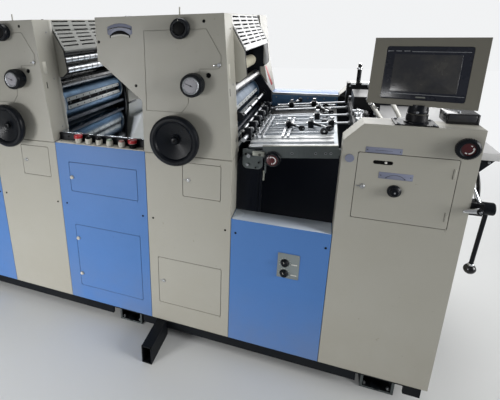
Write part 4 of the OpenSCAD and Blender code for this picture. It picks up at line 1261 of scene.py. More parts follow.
@dataclass
class ButtonRow:
    """The six buttons on the ledge between the units."""

    row: tuple[tuple[float, Head, str, str], ...] = (
        (127, Head.MUSHROOM, "button_white", "button_red"), (184, Head.SELECTOR, "button_white", "ink"),
        (243, Head.SELECTOR, "button_white", "ink"), (300, Head.LENS, "button_white", "lens_green"),
        (364, Head.LENS, "button_white", "lens_red"), (421, Head.MUSHROOM, "ink", "button_red"))
    left: float = -350.0
    depth: float = -503.0
    base: float = 1006.0

    def build(self) -> None:
        """Make every button and the screws of the ledge."""
        for number, (x, head, shell, cap) in enumerate(self.row, 1):
            w = Work(f"ledge_button_{number}", "ground", base=move(self.left + x, self.depth, self.base))
            w.turned([(15.4, -0.2), (15.4, 1.2), (19.0, 1.2), (19.6, 0.6), (19.6, -0.2)], ring=True, steps=40)
            w.use(shell).turned([(14.0, 0.8), (15.8, 0.8), (15.9, 3.0), (15.5, 22.5), (14.4, 24.6), (12.5, 24.9),
                                 (12.5, 23)], ring=True, steps=40)
            w.ribs(20, (15.0, -0.6, 8.0), (16.3, 0.6, 21.0), 0.3)
            self.head(w, head, cap, 14.0 if number == 6 else 12.0)
            w.finish(Slot.PALE)
        w = Work("ledge_screws", "ground", base=move(self.left, 0, 0))
        for x in (26, 90, 470):
            w.screw((x, self.depth, self.base - 0.2), 3.6, 1.8)
        w.finish(Slot.PALE)

    def head(self, w: Work, head: Head, cap: str, height: float) -> None:
        """Add a button's head.

        Args:
            w: the piece in the making.
            head: its kind.
            cap: its finish.
            height: height of a mushroom.
        """
        w.use(cap)
        if head is Head.MUSHROOM:
            top = 24 + height
            w.turned([(0, 23.5), (18.0, 23.5), (20.6, 24.2), (21.0, 26.5), (21.0, top - 1.5), (20.3, top + 0.8),
                      (17.0, top + 2.2), (9.0, top + 3.2), (0, top + 3.5)], steps=44)
        elif head is Head.SELECTOR:
            w.turned([(0, 23.9), (12.5, 23.9), (12.7, 25.0), (12.7, 31.4), (11.6, 32.6), (0, 32.8)], steps=36)
            w.block((-3.0, -11.0, 31.5), (3.0, 11.0, 38.2), 1.6, spin(HAND_TURN))
            w.use("scale").block((-0.6, 2.0, 37.8), (0.6, 10.4, 38.6), 0.25, spin(HAND_TURN))
        else:
            w.turned([(0, 23.9), (12.7, 23.9), (12.7, 29.6), (11.4, 31.4), (7.0, 32.6), (0, 33.0)], steps=36)


@dataclass
class ConsoleTrim:
    """Label plates, knobs, slot and latch of the operator console."""

    knob_at: Flat = (1316.0, 1134.0)
    disc_at: Flat = (973.0, 1061.0)
    door_knob_at: Flat = (1130.0, 952.0)
    slot: tuple[float, float, float, float] = (1051.0, 1048.0, 63.0, 14.0)

    def build(self) -> None:
        """Make every piece of the console's trim."""
        self.big_knob()
        self.labels()
        self.door_knob()
        self.slot_scale()

    def big_knob(self) -> None:
        """Black knob with a dark red middle and a curved pale arrow."""
        w = Work("console_knob_cap", "plastic", base=front(self.knob_at[0], PLAN.front, self.knob_at[1]))
        w.turned([(20.4, 18.0), (20.4, 22.6), (23.4, 27.3), (24.6, 28.0), (29.4, 28.0), (34.7, 22.4), (34.9, 10.0),
                  (30.0, -0.4), (24.0, -0.4)],
                                ring=True, steps=56)
        w.ribs(30, (33.6, -1.2, 11.5), (36.2, 1.2, 21.5), 0.6)
        w.use("dark_red").disc(20.6, 20.5, 23.4, steps=44, edge=(1.6, 0.8), dome=0.6)
        for sweep, start in ((96, -86), (26, 232), (22, 52)):
            w.use("arrow").ring(12.2, 15.6, 23.2, 24.4, angle=sweep, start=start, steps=24)
        w.plate([(-4.2, -0.5), (4.2, -0.5), (0.0, 6.2)], 23.2, 24.4, 0.2, spin(10) @ move(13.9, 0, 0))
        w.finish(Slot.CREAM)

    def labels(self) -> None:
        """The two bare label plates and the round disc."""
        w = Work("console_label", "label", base=front(0, PLAN.front, 0))
        w.tablet((1022, 1089.5), (1137, 1110.5), 1.5, -0.1, 0.8, 0.25)
        w.disc(15.5, 1.8, 3.1, (*self.disc_at, 0), steps=40, edge=(0.7, 0.5), dome=0.1)
        w.ring(15, 15.5, -0.1, 2, (*self.disc_at, 0), steps=40)
        w.use("line")
        for x in (1028, 1131):
            w.disc(1.6, 0.6, 1.3, (x, 1100, 0), steps=16, dome=0.1)
        w.block((1052, 1099.5, 0.6), (1107, 1100.5, 1.05), 0.15)
        w.finish(Slot.CREAM)
        w = Work("console_door_label", "label", "console_door", front(0, PLAN.front, 0))
        w.tablet((1074, 995), (1182, 1020), 1.5, -0.1, 0.8, 0.25)
        w.use("line").ring(42, 43.6, 0.6, 1.1, (1128, 969, 0), angle=84, start=48, steps=36)
        for side in (-1, 1):
            w.disc(1.6, 0.6, 1.3, (1128 + side * 47, 1007.5, 0), steps=16, dome=0.1)
            tip = move(1128 + side * 28.6, 1000.4, 0) @ spin(-side * 140)
            w.plate([(-2.6, 0), (2.6, 0), (0, 5.4)], 0.5, 1.15, 0.1, tip)
        w.finish(Slot.CREAM)

    def door_knob(self) -> None:
        """Black knob in the middle of the console door."""
        x, z = self.door_knob_at
        w = Work("console_door_knob", "plastic", "console_door", front(x, PLAN.front, z))
        w.turned([(0, -0.1), (22.6, -0.1), (22.8, 1.0), (22.8, 7.6), (21.8, 9.4), (16.8, 12.6), (14.8, 20.2),
                  (12.6, 22.6), (0, 23.0)], steps=48)
        w.ribs(18, (13.6, -0.9, 12.6), (16.6, 0.9, 19.6), 0.5)
        w.use("ink").turned([(20.0, 8.4), (20.4, 9.6), (21.2, 9.8), (21.9, 9.2), (21.6, 8.0)], ring=True, steps=44)
        w.use("ground").screw((0, 0, 22.8), 3.0, 1.6)
        w.finish(Slot.CREAM)

    def slot_scale(self) -> None:
        """Black lining of the door's slot with a pale pointer."""
        x, z, width, height = self.slot
        w = Work("console_slot_scale", "ink", "console_door", front(x, PLAN.front, z))
        w.tablet((-4, -4), (width + 4, height + 4), 9.0, -4.6, -3.4)
        w.ring(5.9, 6.4, -3.2, 0.35, (6.9, 7, 0), angle=180, start=90, steps=20)
        w.ring(5.9, 6.4, -3.2, 0.35, (width - 6.9, 7, 0), angle=180, start=-90, steps=20)
        for low in (0.05, height - 0.55):
            w.block((6.9, low, -3.2), (width - 6.9, low + 0.5, 0.35), 0.15)
        w.use("scale").disc(4.3, -3.6, -0.8, (41, 6.4, 0), steps=24, edge=(1.1, 0.8), dome=0.2)
        w.plate([(37.2, 6.6), (44.8, 6.6), (41.0, 12.2)], -3.6, -1.2)
        w.finish(Slot.CREAM)


@dataclass
class ScreenTrim:
    """Display, bezel and back of the touch screen."""

    foot: Point = (1172.0, -473.0, 1228.5)
    turn: float = -12.0
    lift: float = 26.0
    lean: float = -8.0
    thickness: float = 50.0

    @property
    def place(self) -> Matrix:
        """The place of the post's foot, turned with the screen."""
        return move(*self.foot) @ spin(self.turn)

    @property
    def housing(self) -> Matrix:
        """The place of the housing's lower edge, leaning back with it."""
        return self.place @ move(0, 0, self.lift) @ spin(self.lean, "X")

    def build(self) -> None:
        """Make the screen's pieces."""
        self.display()
        self.back()
        self.post()

    def display(self) -> None:
        """Dark bezel, display and thin pale lines."""
        w = Work("screen_display", "bezel", "monitor", self.housing @ front(0, -self.thickness / 2, 0))
        w.tablet((-119.6, 20.4), (122.6, 197.6), 7.8, -1.6, -0.3, 0.25)
        w.use("glass").tablet((-94, 47), (96, 171), 1.2, -0.5, 0.12, 0.1)
        w.use("screen_line").block((-45, 179.6, -0.5), (116, 181.2, 0.0), 0.15)
        w.block((-112, 38.6, -0.5), (118, 40.2, 0.0), 0.15)
        for x in (-116, -92, -68):
            w.block((x, 181.0, -0.5), (x + 17, 183.2, 0.0), 0.15)
        w.use("grey").tablet((-14, 27.5), (14, 32.5), 1.2, -0.5, -0.1, 0.1)
        w.finish(Slot.CREAM)

    def back(self) -> None:
        """Vents, screws and socket plate on the back of the housing."""
        w = Work("screen_back", "cream", "monitor", self.housing @ rear(0, self.thickness / 2, 0))
        w.tablet((-140, 18), (140, 208), 6.0, -0.2, 2.2, 0.8)
        for row in range(9):
            for column in (-1, 0, 1):
                x, y = column * 62, 118 + row * 8
                w.use("ink").tablet((x - 26, y), (x + 26, y + 3.4), 1.6, 1.6, 2.5, 0.1)
        w.tablet((-60, 34), (60, 70), 3.0, 1.8, 2.8, 0.3)
        for x in (-38, 0, 38):
            w.disc(9, 2.6, 9.4, (x, 52, 0), steps=24, edge=(1.8, 1.4))
        for x in (-132, 132):
            for y in (26, 113, 200):
                w.use("ground").screw((x, y, 2.1), 3.6, 1.8)
        w.finish(Slot.CREAM)

    def post(self) -> None:
        """Collar and clamp screw on the swivelling post, and the bolts of its base."""
        w = Work("screen_post_collar", "plastic", "monitor", self.place)
        w.turned([(29.1, 2.0), (30.6, 2.0), (31.4, 4.0), (31.4, 14.0), (30.2, 16.5), (29.8, 34.0), (29.1, 34.0)],
                 ring=True, steps=44)
        w.use("ground").screw((0, -30.8, 9.2), 4.4, 4.0, TO_FRONT)
        w.finish(Slot.PLASTIC)
        w = Work("screen_base_bolts", "ground", base=move(self.foot[0], self.foot[1], 1198))
        for x, y in ((-58, -38), (-58, 38), (48, -38), (48, 38)):
            w.screw((x, y, -0.2), 5.2, 4.2)
        w.use("plastic").turned([(32.5, -0.2), (38.0, -0.2), (38.0, 2.6), (35.5, 5.2), (32.5, 6.4)], ring=True,
                                steps=48)
        w.finish(Slot.PLASTIC)


@dataclass
class FeedBoardTrim:
    """Clamps, rods, knobs and bright strips of the feed board."""

    slope: float = 5.5
    low: Point = (540.0, 0.0, 1042.0)
    rail: float = -470.0
    clamps: tuple[tuple[float, float, Point | None], ...] = (
        (160, 300, (46, 30, 14)), (282, 300, None), (310, 162, (60, -140, 2)), (190, -180, (64, -120, 6)),
        (286, -180, (78, -132, 6)), (308, -16, None), (372, -180, None))
    rods: tuple[tuple[float, float], ...] = ((-180, 130), (-16, 130), (162, 88), (300, 84))
    registers: tuple[float, ...] = (-380, -260, -140, -20, 100, 210)

    @property
    def board(self) -> Matrix:
        """The place of the board's low end, sloping with it."""
        return move(*self.low) @ spin(-self.slope, "Y")

    def build(self) -> None:
        """Make every piece on the feed board."""
        self.clamp_shells()
        self.board_skin()
        self.register_shells()
        self.drive()

    def clamp_shells(self) -> None:
        """Black clamps with their arms, balls and bright thumb screws."""
        w = Work("board_clamps", "plastic", base=self.board)
        for x, y, reach in self.clamps:
            w.use("plastic").block((x - 12.6, y - 14.6, 8.2), (x + 12.6, y + 14.6, 40.6), 2.6)
            w.block((x - 9.0, y - 17.5, 18.0), (x + 9.0, y + 17.5, 34.0), 2.0)
            w.use("chrome").turned([(0, 40), (4.2, 40), (4.2, 46), (8.6, 46.6), (9.2, 48), (9.2, 54), (8.2, 55.4),
                                    (0, 55.8)], (x + 3, y, 0), steps=28)
            for side in (-1, 1):
                ring = [(5.2, 0), (8.4, 0), (8.6, 0.8), (8.6, 5.2), (8.0, 6.0), (5.2, 6.0)]
                w.turned(ring, (x + side * 12.4 - (6 if side < 0 else 0), y, 26), TO_RIGHT, 24, ring=True)
            if reach:
                start = Vector((x, y, 30.0))
                end = start + Vector(reach)
                aim = (end - start).normalized()
                w.use("plastic").rod(start, end - aim * 9, 6.5, 5.8, steps=24)
                w.ball(end, 13.6, steps=32)
                w.use("chrome").turned([(5.6, 0), (8.2, 0), (8.4, 1.0), (8.4, 4.0), (5.6, 4.6)], end - aim * 17, aim,
                                       28, ring=True)
                w.use("ground").screw(end + aim * 12.6, 3.0, 1.8, aim)
        for y, start in self.rods:
            w.use("chrome").turned([(0, 0), (4.0, 0), (5.4, 1.4), (5.4, 14), (0, 14)], (start - 1, y, 26), TO_RIGHT, 20)
            w.use("ground").nut((440, y, 26), 9.0, 7.0, TO_RIGHT)
        w.finish(Slot.PLASTIC)

    def board_skin(self) -> None:
        """Dark board between the slats, whiter slats in front and rolls on the cross bars."""
        w = Work("board_slat_skins", "ink", base=self.board)
        w.block((61, 130, -0.4), (396, 376, 0.7), 0.2)
        w.use("sheet").block((61, -457, -0.4), (396, 130, 0.7), 0.2)
        for y, width in ((-392, 44), (-333, 52)):
            half = width / 2 - 1.0
            w.use("slat_white").block((53, y - half, 7.2), (381, y + half, 8.7), 0.5)
        w.block((53, -455, 0.2), (396, -424, 3.4), 0.8)
        for y in (-257, -214, -170, -116, -60, -4, 60, 118):
            w.use("bright").rod((31, y, 8.0), (380, y, 8.0), 2.4, steps=12)
        for x in (72, 93, 179, 201):
            for y in (-300, -236, -150, -90, -30):
                w.use("chrome").screw((x, y, 17.8), 3.2, 2.2)
        for y in (-285, -130, 20, 150, 255):
            w.use("roller").ring(4, 16.4, -4, 4, (344, y, 16.8), TO_REAR, 32, edge=(0.8, 1))
            w.use("chrome").disc(4.6, -6, 6, (344, y, 16.8), TO_REAR, 20)
            w.rod((344, y + 6, 16.8), (372, y + 6, 25.8), 2.6, steps=12)
        for y in (340, 358):
            w.use("chrome").rod((60, y, 4), (392, y, 4), 3.4, steps=14)
        w.finish(Slot.BRIGHT)

    def register_shells(self) -> None:
        """Dark blocks on the register shaft with bright screws, stops and springs."""
        w = Work("board_registers", "casting", base=self.board)
        for y in self.registers:
            w.use("casting").block((9.4, y - 0.6, 5), (50.6, y + 26.6, 60.6), 2.2)
            w.use("chrome").screw((22, y + 13, 60.4), 5.0, 3.4)
            w.screw((40, y + 13, 60.4), 3.6, 2.4)
            w.use("pale").turned([(0, 0), (9.0, 0), (9.6, 0.8), (9.6, 5.2), (9.0, 6.0), (0, 6.0)],
                                 (10.0, y + 13, 24.0), (-1, 0, 0.25), 28)
            w.use("chrome").block((50.0, y + 8, 12), (66.0, y + 18, 15), 0.8)
            w.block((62.5, y + 6, 9), (65.5, y + 20, 30), 0.8)
        for y in (-300, -180, -60, 60, 160):
            w.use("ground").ring(8, 14, 0, 14, (34, y, 30), TO_REAR, 28, edge=(0.5, 0.8))
            w.use("chrome").screw((34, y + 7, 43.5), 3.0, 2.2)
        w.finish(Slot.BRIGHT)

    def drive(self) -> None:
        """Red knob with its arrow, bolts of the drive plate and the bright pin."""
        w = Work("board_drive_trim", "plastic", base=front(540, self.rail, 0))
        x, z = 154.0, 1009.0
        w.use("plastic").turned([(25.8, 8.0), (26.4, 9.0), (30.6, 9.0), (32.6, 7.2), (32.6, -6), (25.8, -6)],
                                (x, z, 0), ring=True, steps=52)
        w.turned([(24.6, 5.0), (25.6, 5.0), (25.6, 20.4), (23.6, 22.8), (20.4, 22.8), (20.4, 21.6), (23.0, 21.6),
                  (24.6, 20.0)], (x, z, 0), ring=True, steps=52)
        w.use("dark_red").disc(22.4, 21.6, 23, (x, z, 0), steps=48, edge=(1, 0.6), dome=0.4)
        w.use("arrow").ring(12.6, 16.2, 22.6, 23.9, (x, z, 0), angle=185, start=-75, steps=40)
        tip = move(x, z, 0) @ spin(110) @ move(14.4, 0, 0)
        w.plate([(-4.2, -0.5), (4.2, -0.5), (0.0, 6.4)], 22.7, 23.9, 0.2, tip)
        w.block((x - 1.0, z - 17, 22.8), (x + 1.0, z - 9.5, 23.8), 0.3)
        for px, pz, r in ((45, 1022, 4.6), (58, 1016, 8.0), (102, 1024, 4.6), (53, 975, 6.0), (100, 990, 4.0),
                          (88, 966, 3.6)):
            w.use("ground" if r > 5 else "ink").screw((px, pz, 7.8 if r < 7 else 13.8), r, 3.0)
        w.use("rail_edge").tablet((73, 1018), (121, 1038), 3.0, 7.8, 9.6, 0.6)
        w.turned([(3.0, 0), (3.6, 0.6), (3.6, 34), (4.6, 36), (4.6, 44), (3.0, 44)], (121, 908, -6), TO_REAR, 20,
                 ring=True)
        for px in (228, 316, 352, 371):
            spot = (px, 1018 + px * math.tan(math.radians(self.slope)), 0)
            w.use("ink").disc(3, -3, -1, spot, steps=16, dome=0.2)
            w.use("ground").ring(3.1, 4.8, -0.2, 0.5, spot, steps=20)
        for px, pz in ((136, 1040), (150, 1046), (166, 1043)):
            w.use("chrome").disc(6, -8, 5, (px, pz, -6), steps=24, edge=(1, 1))
        w.finish(Slot.BRIGHT)
        w = Work("board_rail_cap", "rail_edge", base=self.board)
        w.block((112, -470.4, 5.4), (397, -457.2, 7.2), 0.5)
        w.finish(Slot.BRIGHT)


@dataclass
class FeederTrim:
    """Tubes, suckers, collars and bright parts of the feeder head."""

    head_x: float = 986.0
    head_z: float = 1096.0

    def build(self) -> None:
        """Make every piece of the feeder head's trim."""
        self.tower()
        self.suckers()

    def tower(self) -> None:
        """Collar, rod end and screws of the tower, and the glossy box on the console."""
        x, z = self.head_x, self.head_z
        w = Work("feeder_tower_trim", "chrome")
        w.ring(9.2, 13.6, 0, 11, (x + 44, 290, z + 195.5), steps=32, edge=(0.6, 0.8))
        w.turned([(0, 0), (9.4, 0), (9.4, 2), (8.0, 5), (4, 6.4), (0, 6.8)], (x + 44, 290, z + 221.6), steps=28)
        w.use("plastic").ring(9.1, 10.4, 0, 60, (x + 44, 290, z + 134), steps=28)
        for px in (x + 4, x + 92):
            for pz in (z + 36, z + 112):
                w.use("ground").screw((px, 249.8, pz), 5.0, 3.6, TO_FRONT)
        w.use("chrome").turned([(0, 0), (14, 0), (15, 1), (15, 9), (13.5, 11), (0, 11)], (x + 52, 249.8, z + 74),
                               TO_FRONT, 36)
        w.use("slat_white").block((x + 6, 249.2, z + 119), (x + 30, 320.8, z + 129.2), 0.8)
        w.block((x + 58, 249.2, z + 119), (x + 106.6, 320.8, z + 129.2), 0.8)
        w.use("gloss_black").tablet((1264.4, -453.6), (1358.6, -350.4), 5.0, 1193.8, 1228.6, 2.4)
        w.use("glass").tablet((1266, -451), (1357, -353), 4.0, 1228.0, 1229.4, 0.5)
        w.tablet((1270, 1203), (1348, 1226), 3.0, 0.0, 1.2, 0.4, front(0, -453.4, 0))
        w.use("ground").disc(4.4, 0, 7, (1302, -430, 1229), steps=20, edge=(1.2, 1))
        w.finish(Slot.BLACK)

    def suckers(self) -> None:
        """Pale tubes, suckers with their bodies and the bright rail that carries them."""
        x, z = self.head_x, self.head_z
        w = Work("feeder_suckers", "tube_white")
        for tx, ty, reach in ((1060, -76, 108), (1150, -25, 87)):
            foot = Vector((tx, ty, 1190))
            aim = Vector((0.57, 0, -0.82)) if ty < -30 else Vector((0.5, 0, -0.866))
            w.use("tube_white").rod(foot - aim * 2, foot + aim * reach, 9.8, 9.6, steps=28)
            w.use("chrome").turned([(9.7, 0), (12.2, 0), (12.6, 0.8), (12.6, 8), (9.7, 8)], foot + aim * 10, aim, 28,
                                   ring=True)
            w.use("ground").nut(foot - aim * 9, 11.0, 8.0, -aim)
        w.use("bright").ring(6, 8.4, 0, 112, (1046, -25, 1184), TO_RIGHT, 28)
        for y in (-40, 20, 80, 140):
            w.use("chrome").turned([(9.1, 26), (9.6, 26), (10.2, 27), (10.2, 54), (9.1, 54)], (x + 104, y, z),
                                   steps=28, ring=True)
            w.use("roller").turned([(14.1, 4), (15.6, 4.8), (16.2, 7), (14.8, 12), (14.6, 18), (14.1, 20)],
                                   (x + 104, y, z), steps=32, ring=True)
            w.use("ground").screw((x + 104, y, z + 60), 6.4, 4.0)
        for y in (-150, 200, 330):
            w.use("bright").rod((x + 2, y, z + 60), (x + 48, y, z + 60), 9.0, steps=24)
            w.use("chrome").nut((x + 25, y, z + 66), 9.0, 6.0)
        for y in (-300, -200):
            w.use("bright").turned([(0, 0), (16, 0), (17, 1), (17, 15), (16, 16), (0, 16)], (x + 25, y, z + 49.8),
                                   steps=36)
            w.use("chrome").screw((x + 25, y, z + 65.5), 6.0, 4.0)
        w.use("chrome").rod((x + 70, -120, z + 92), (x + 70, 248, z + 92), 6.0, steps=20)
        w.rod((x + 98, -120, z + 74), (x + 98, 248, z + 74), 5.0, steps=20)
        w.finish(Slot.BLACK)


@dataclass
class LeverTrim:
    """Bright handles of the bracket, the lever's ball and the board's white edge."""

    hub: Point = (1400.0, -505.0, 919.0)

    def build(self) -> None:
        """Make the handles, the ball's end and the edge strip."""
        x, y, z = self.hub
        w = Work("bracket_handles", "chrome")
        foot, aim = Vector((x - 18, y - 40, z + 4)), spin(-100, "Y") @ Vector(UP)
        w.rod(foot - aim, foot + aim * 45, 10.6, 5.5, 1.6, 36)
        foot, aim = Vector((x - 12, y, z + 19)), spin(-23, "Y") @ Vector(UP)
        w.rod(foot, foot + aim * 57, 8.5, 4.0, 1.4, 36)
        w.use("plastic").turned([(0, 0), (9.4, 0), (9.8, 1), (9.8, 9), (8.6, 11), (0, 11)], (x - 18, y - 43, z + 4),
                                TO_FRONT, 36)
        w.use("ground").screw((x - 18, y - 53.6, z + 4), 4.4, 2.6, TO_FRONT)
        for dx in (-30, -14):
            w.screw((x + dx, y - 21.6, z - 12), 4.0, 2.6, TO_FRONT)
        w.finish(Slot.BLACK)
        w = Work("pile_lever_trim", "gloss_black", "pile_lever", move(x + 16, y, z) @ spin(5, "X"))
        w.ball((0, 0, -254), 19.4, steps=40)
        w.use("chrome").disc(4.6, 0, 3.6, (0, 0, -272.2), (0, 0, -1), 24, edge=(1, 1.2), dome=0.3)
        w.turned([(7.1, 0), (9.4, 0.6), (9.4, 7), (7.1, 9)], (0, 0, -238), steps=28, ring=True)
        w.base = move(x, y, z)
        w.use("plastic").turned([(12, 0), (19.5, 0), (20.5, 1), (20.5, 2.6), (12, 3.0)], (31.6, 0, 0), TO_RIGHT, 40,
                                ring=True)
        w.use("chrome").screw((33.0, 0, 0), 10.5, 2.6, TO_RIGHT)
        w.finish(Slot.PLASTIC)
        w = Work("pile_board_edge", "white")
        w.block((1066.5, -412.2, 1061.0), (1452.4, -410.6, 1087.6), 0.6)
        w.block((1451.2, -411.5, 1061.0), (1453.0, 375.5, 1087.6), 0.6)
        w.block((1066, -411, 1086.8), (1452, 375, 1087.8), 0.4)
        w.use("plastic").plate([(1342.4, 1062.4), (1441, 1062.4), (1342.4, 944)], 0, 0.8, 0.2, front(0, -411.0, 0))
        for px, pz in ((1352, 1050), (1424, 1054), (1352, 972)):
            w.use("ground").screw((px, -411.6, pz), 4.4, 3.0, TO_FRONT)
        w.finish(Slot.BOARD)


@dataclass
class EdgeTrim:
    """Strips, rails and rubber edges that run along the covers."""

    def build(self) -> None:
        """Make the strips of both units and the bay rails."""
        self.flares()
        self.bay_rail()
        self.sheet_fittings()
        self.side_marks()

    def flares(self) -> None:
        """Bright edge and thin red strip where the rear cover flares out."""
        w = Work("rear_cover_edges", "red")
        for right in (PLAN.unit1, PLAN.unit2):
            low, high = Vector((right + 33, 0, 1136)), Vector((right - 5, 0, 1312))
            aim = (high - low).normalized()
            spot = Matrix(((0, aim.x, aim.z, low.x), (1, 0, 0, 0), (0, aim.z, -aim.x, low.z), (0, 0, 0, 1)))
            w.use("white").plate([(275.4, 4), (392, 4), (392, 42), (283, 168), (275.4, 168)], -0.2, 0.7, 0.2, spot)
            if right == PLAN.unit2:
                w.use("red").plate([(397, 40), (462, 40), (330, 168), (287, 168)], -0.2, 1.1, 0.3, spot)
            ear = [*EAR, (2, 1314), (-5, 1322), (-9, 1424), (-62, 1518)]
            w.use("white").plate(ear, 0.0, 0.7, spot=front(right, 239, 0))
        w.finish(Slot.CREAM)

    def bay_rail(self) -> None:
        """Bright top rail and blue inner plate of the rear housing beside the feed board, darkened as painted shade."""
        w = Work("rear_bay_rail", "bright")
        # The pale ledge of the bay panel is whitened as painted reflection.
        w.use("ledge").block((544, -524.4, 736.8), (942, -426, 737.6), 0.3)
        for right in (PLAN.unit1, PLAN.unit2):
            w.use("casting").block((right - 0.2, 274.3, 104), (right + 0.9, 388.4, 1052), 0.3)
            w.block((right - 5.8, 274.3, 104), (right + 0.5, 275.4, 1052), 0.3)
        w.use("bright").block((543, 388.6, 1121.4), (943, 402.0, 1135.4), 1.0)
        w.use("blue").block((543, 397.0, 1133.2), (943, 524.4, 1135.2), 0.7)
        # The dark blue inner plate is blue paint darkened as painted shade.
        w.use("blue_painted_shade").block((576, 386.4, 1054), (942, 389.4, 1122), 0.8)
        for x in (600, 690, 780, 870, 928):
            w.use("ground").screw((x, 386.6, 1108), 4.2, 2.8, TO_FRONT)
        w.use("gloss_black").plate([(950, 1120), (950, 1136), (1008, 1190), (1360, 1190), (1360, 1120)], 0, 1.0, 0.3,
                                   front(0, 388.8, 0))
        w.finish(Slot.BLUE)

    def sheet_fittings(self) -> None:
        """Screws of the polished sheet and the bolts of its dark front rail."""
        w = Work("sheet_fittings", "ground")
        for x in (-330, -230, -120, -10, 100):
            w.use("ground").screw((x, -467, 1044.8), 3.6, 1.8)
            w.use("ink").screw((x + 36, -481.2, 1024), 4.6, 2.6, TO_FRONT)
        for y in (-300, -100, 100, 300):
            for x in (-340, 135):
                w.use("ground").screw((x, y, 1044.8), 3.2, 1.6)
        w.use("casting").block((-347.4, -482.0, 1037.6), (140.4, -466.4, 1041.2), 0.6)
        w.finish(Slot.POLISHED)

    def side_marks(self) -> None:
        """Small screws, a latch and bare plates on the narrow side faces of the front covers."""
        w = Work("side_strip_fittings", "ground")
        for right in (PLAN.unit1, PLAN.unit2):
            aim = Vector((-44, 0, 578)).normalized()
            out = Vector((aim.z, 0, -aim.x))
            spot = Matrix((( aim.x, 0, out.x, right), (0, 1, 0, 0), (aim.z, 0, out.z, 1004), (0, 0, 0, 1)))
            w.use("cream").block((0.5, -424.8, -3.9), (575, -395.4, -0.1), 0.8, spot)
            w.use("label_pale").block((330, -512, -0.1), (388, -486, 0.5), 0.2, spot)
            for s in (60, 300, 520):
                w.use("ground").disc(4, -0.2, 1.8, spot @ Vector((s, -445, 0)), out, 20, edge=(1, 0.8), dome=0.2)
            w.use("ink").block((262, -506, -0.1), (292, -501, 0.9), 0.4, spot)
        w.finish(Slot.CREAM)


@dataclass
class BaseTrim:
    """Bolts, levelling screws and weld beads of the base frame and its feet."""

    feet: tuple[float, ...] = (-1190.0, 0.0, 1190.0)

    def build(self) -> None:
        """Make the base's bolts, welds and caps."""
        w = Work("base_bolts", "ground")
        for x in self.feet:
            for y in (-480, 480):
                for dx in (-48, 48):
                    w.use("ground").nut((x + dx, y, 9.8), 9.0, 7.0)
                w.use("base").disc(20, 9.6, 14.5, (x, y, 0), steps=32, edge=(3, 2))
        w.finish(Slot.DARK_STEEL)
        w = Work("base_welds", "base")
        for x in self.feet:
            for side in (x - 65.4, x + 65.4):
                w.pipe([(side + 0.6 * math.sin(i * 2.1), -494 + i * 6.0, 79.6 + 0.5 * math.sin(i * 1.3))
                        for i in range(22)], 2.6, 8)
        w.finish(Slot.DARK_STEEL)
        w = Work("support_tube_rim", "base")
        for low, high in (((169.6, -715.6, 0.0), (174.4, -704, 96.4)), ((215.6, -715.6, 0.0), (220.4, -704, 96.4)),
                          ((170, -715.6, 91.6), (220, -704, 96.4)), ((170, -715.6, 0.0), (220, -704, 4.4))):
            w.use("base").block(low, high, 0.5)
        for x in self.feet:
            for side in (-1, 1):
                w.use("rail_steel").block((x + side * 60 - 5.4, -495.8, 0.2), (x + side * 60 + 5.4, -493.8, 80.2), 0.6)
            w.block((x - 56, -495.6, 0.2), (x + 56, -493.8, 9.6), 0.6)
        w.finish(Slot.DARK_STEEL)


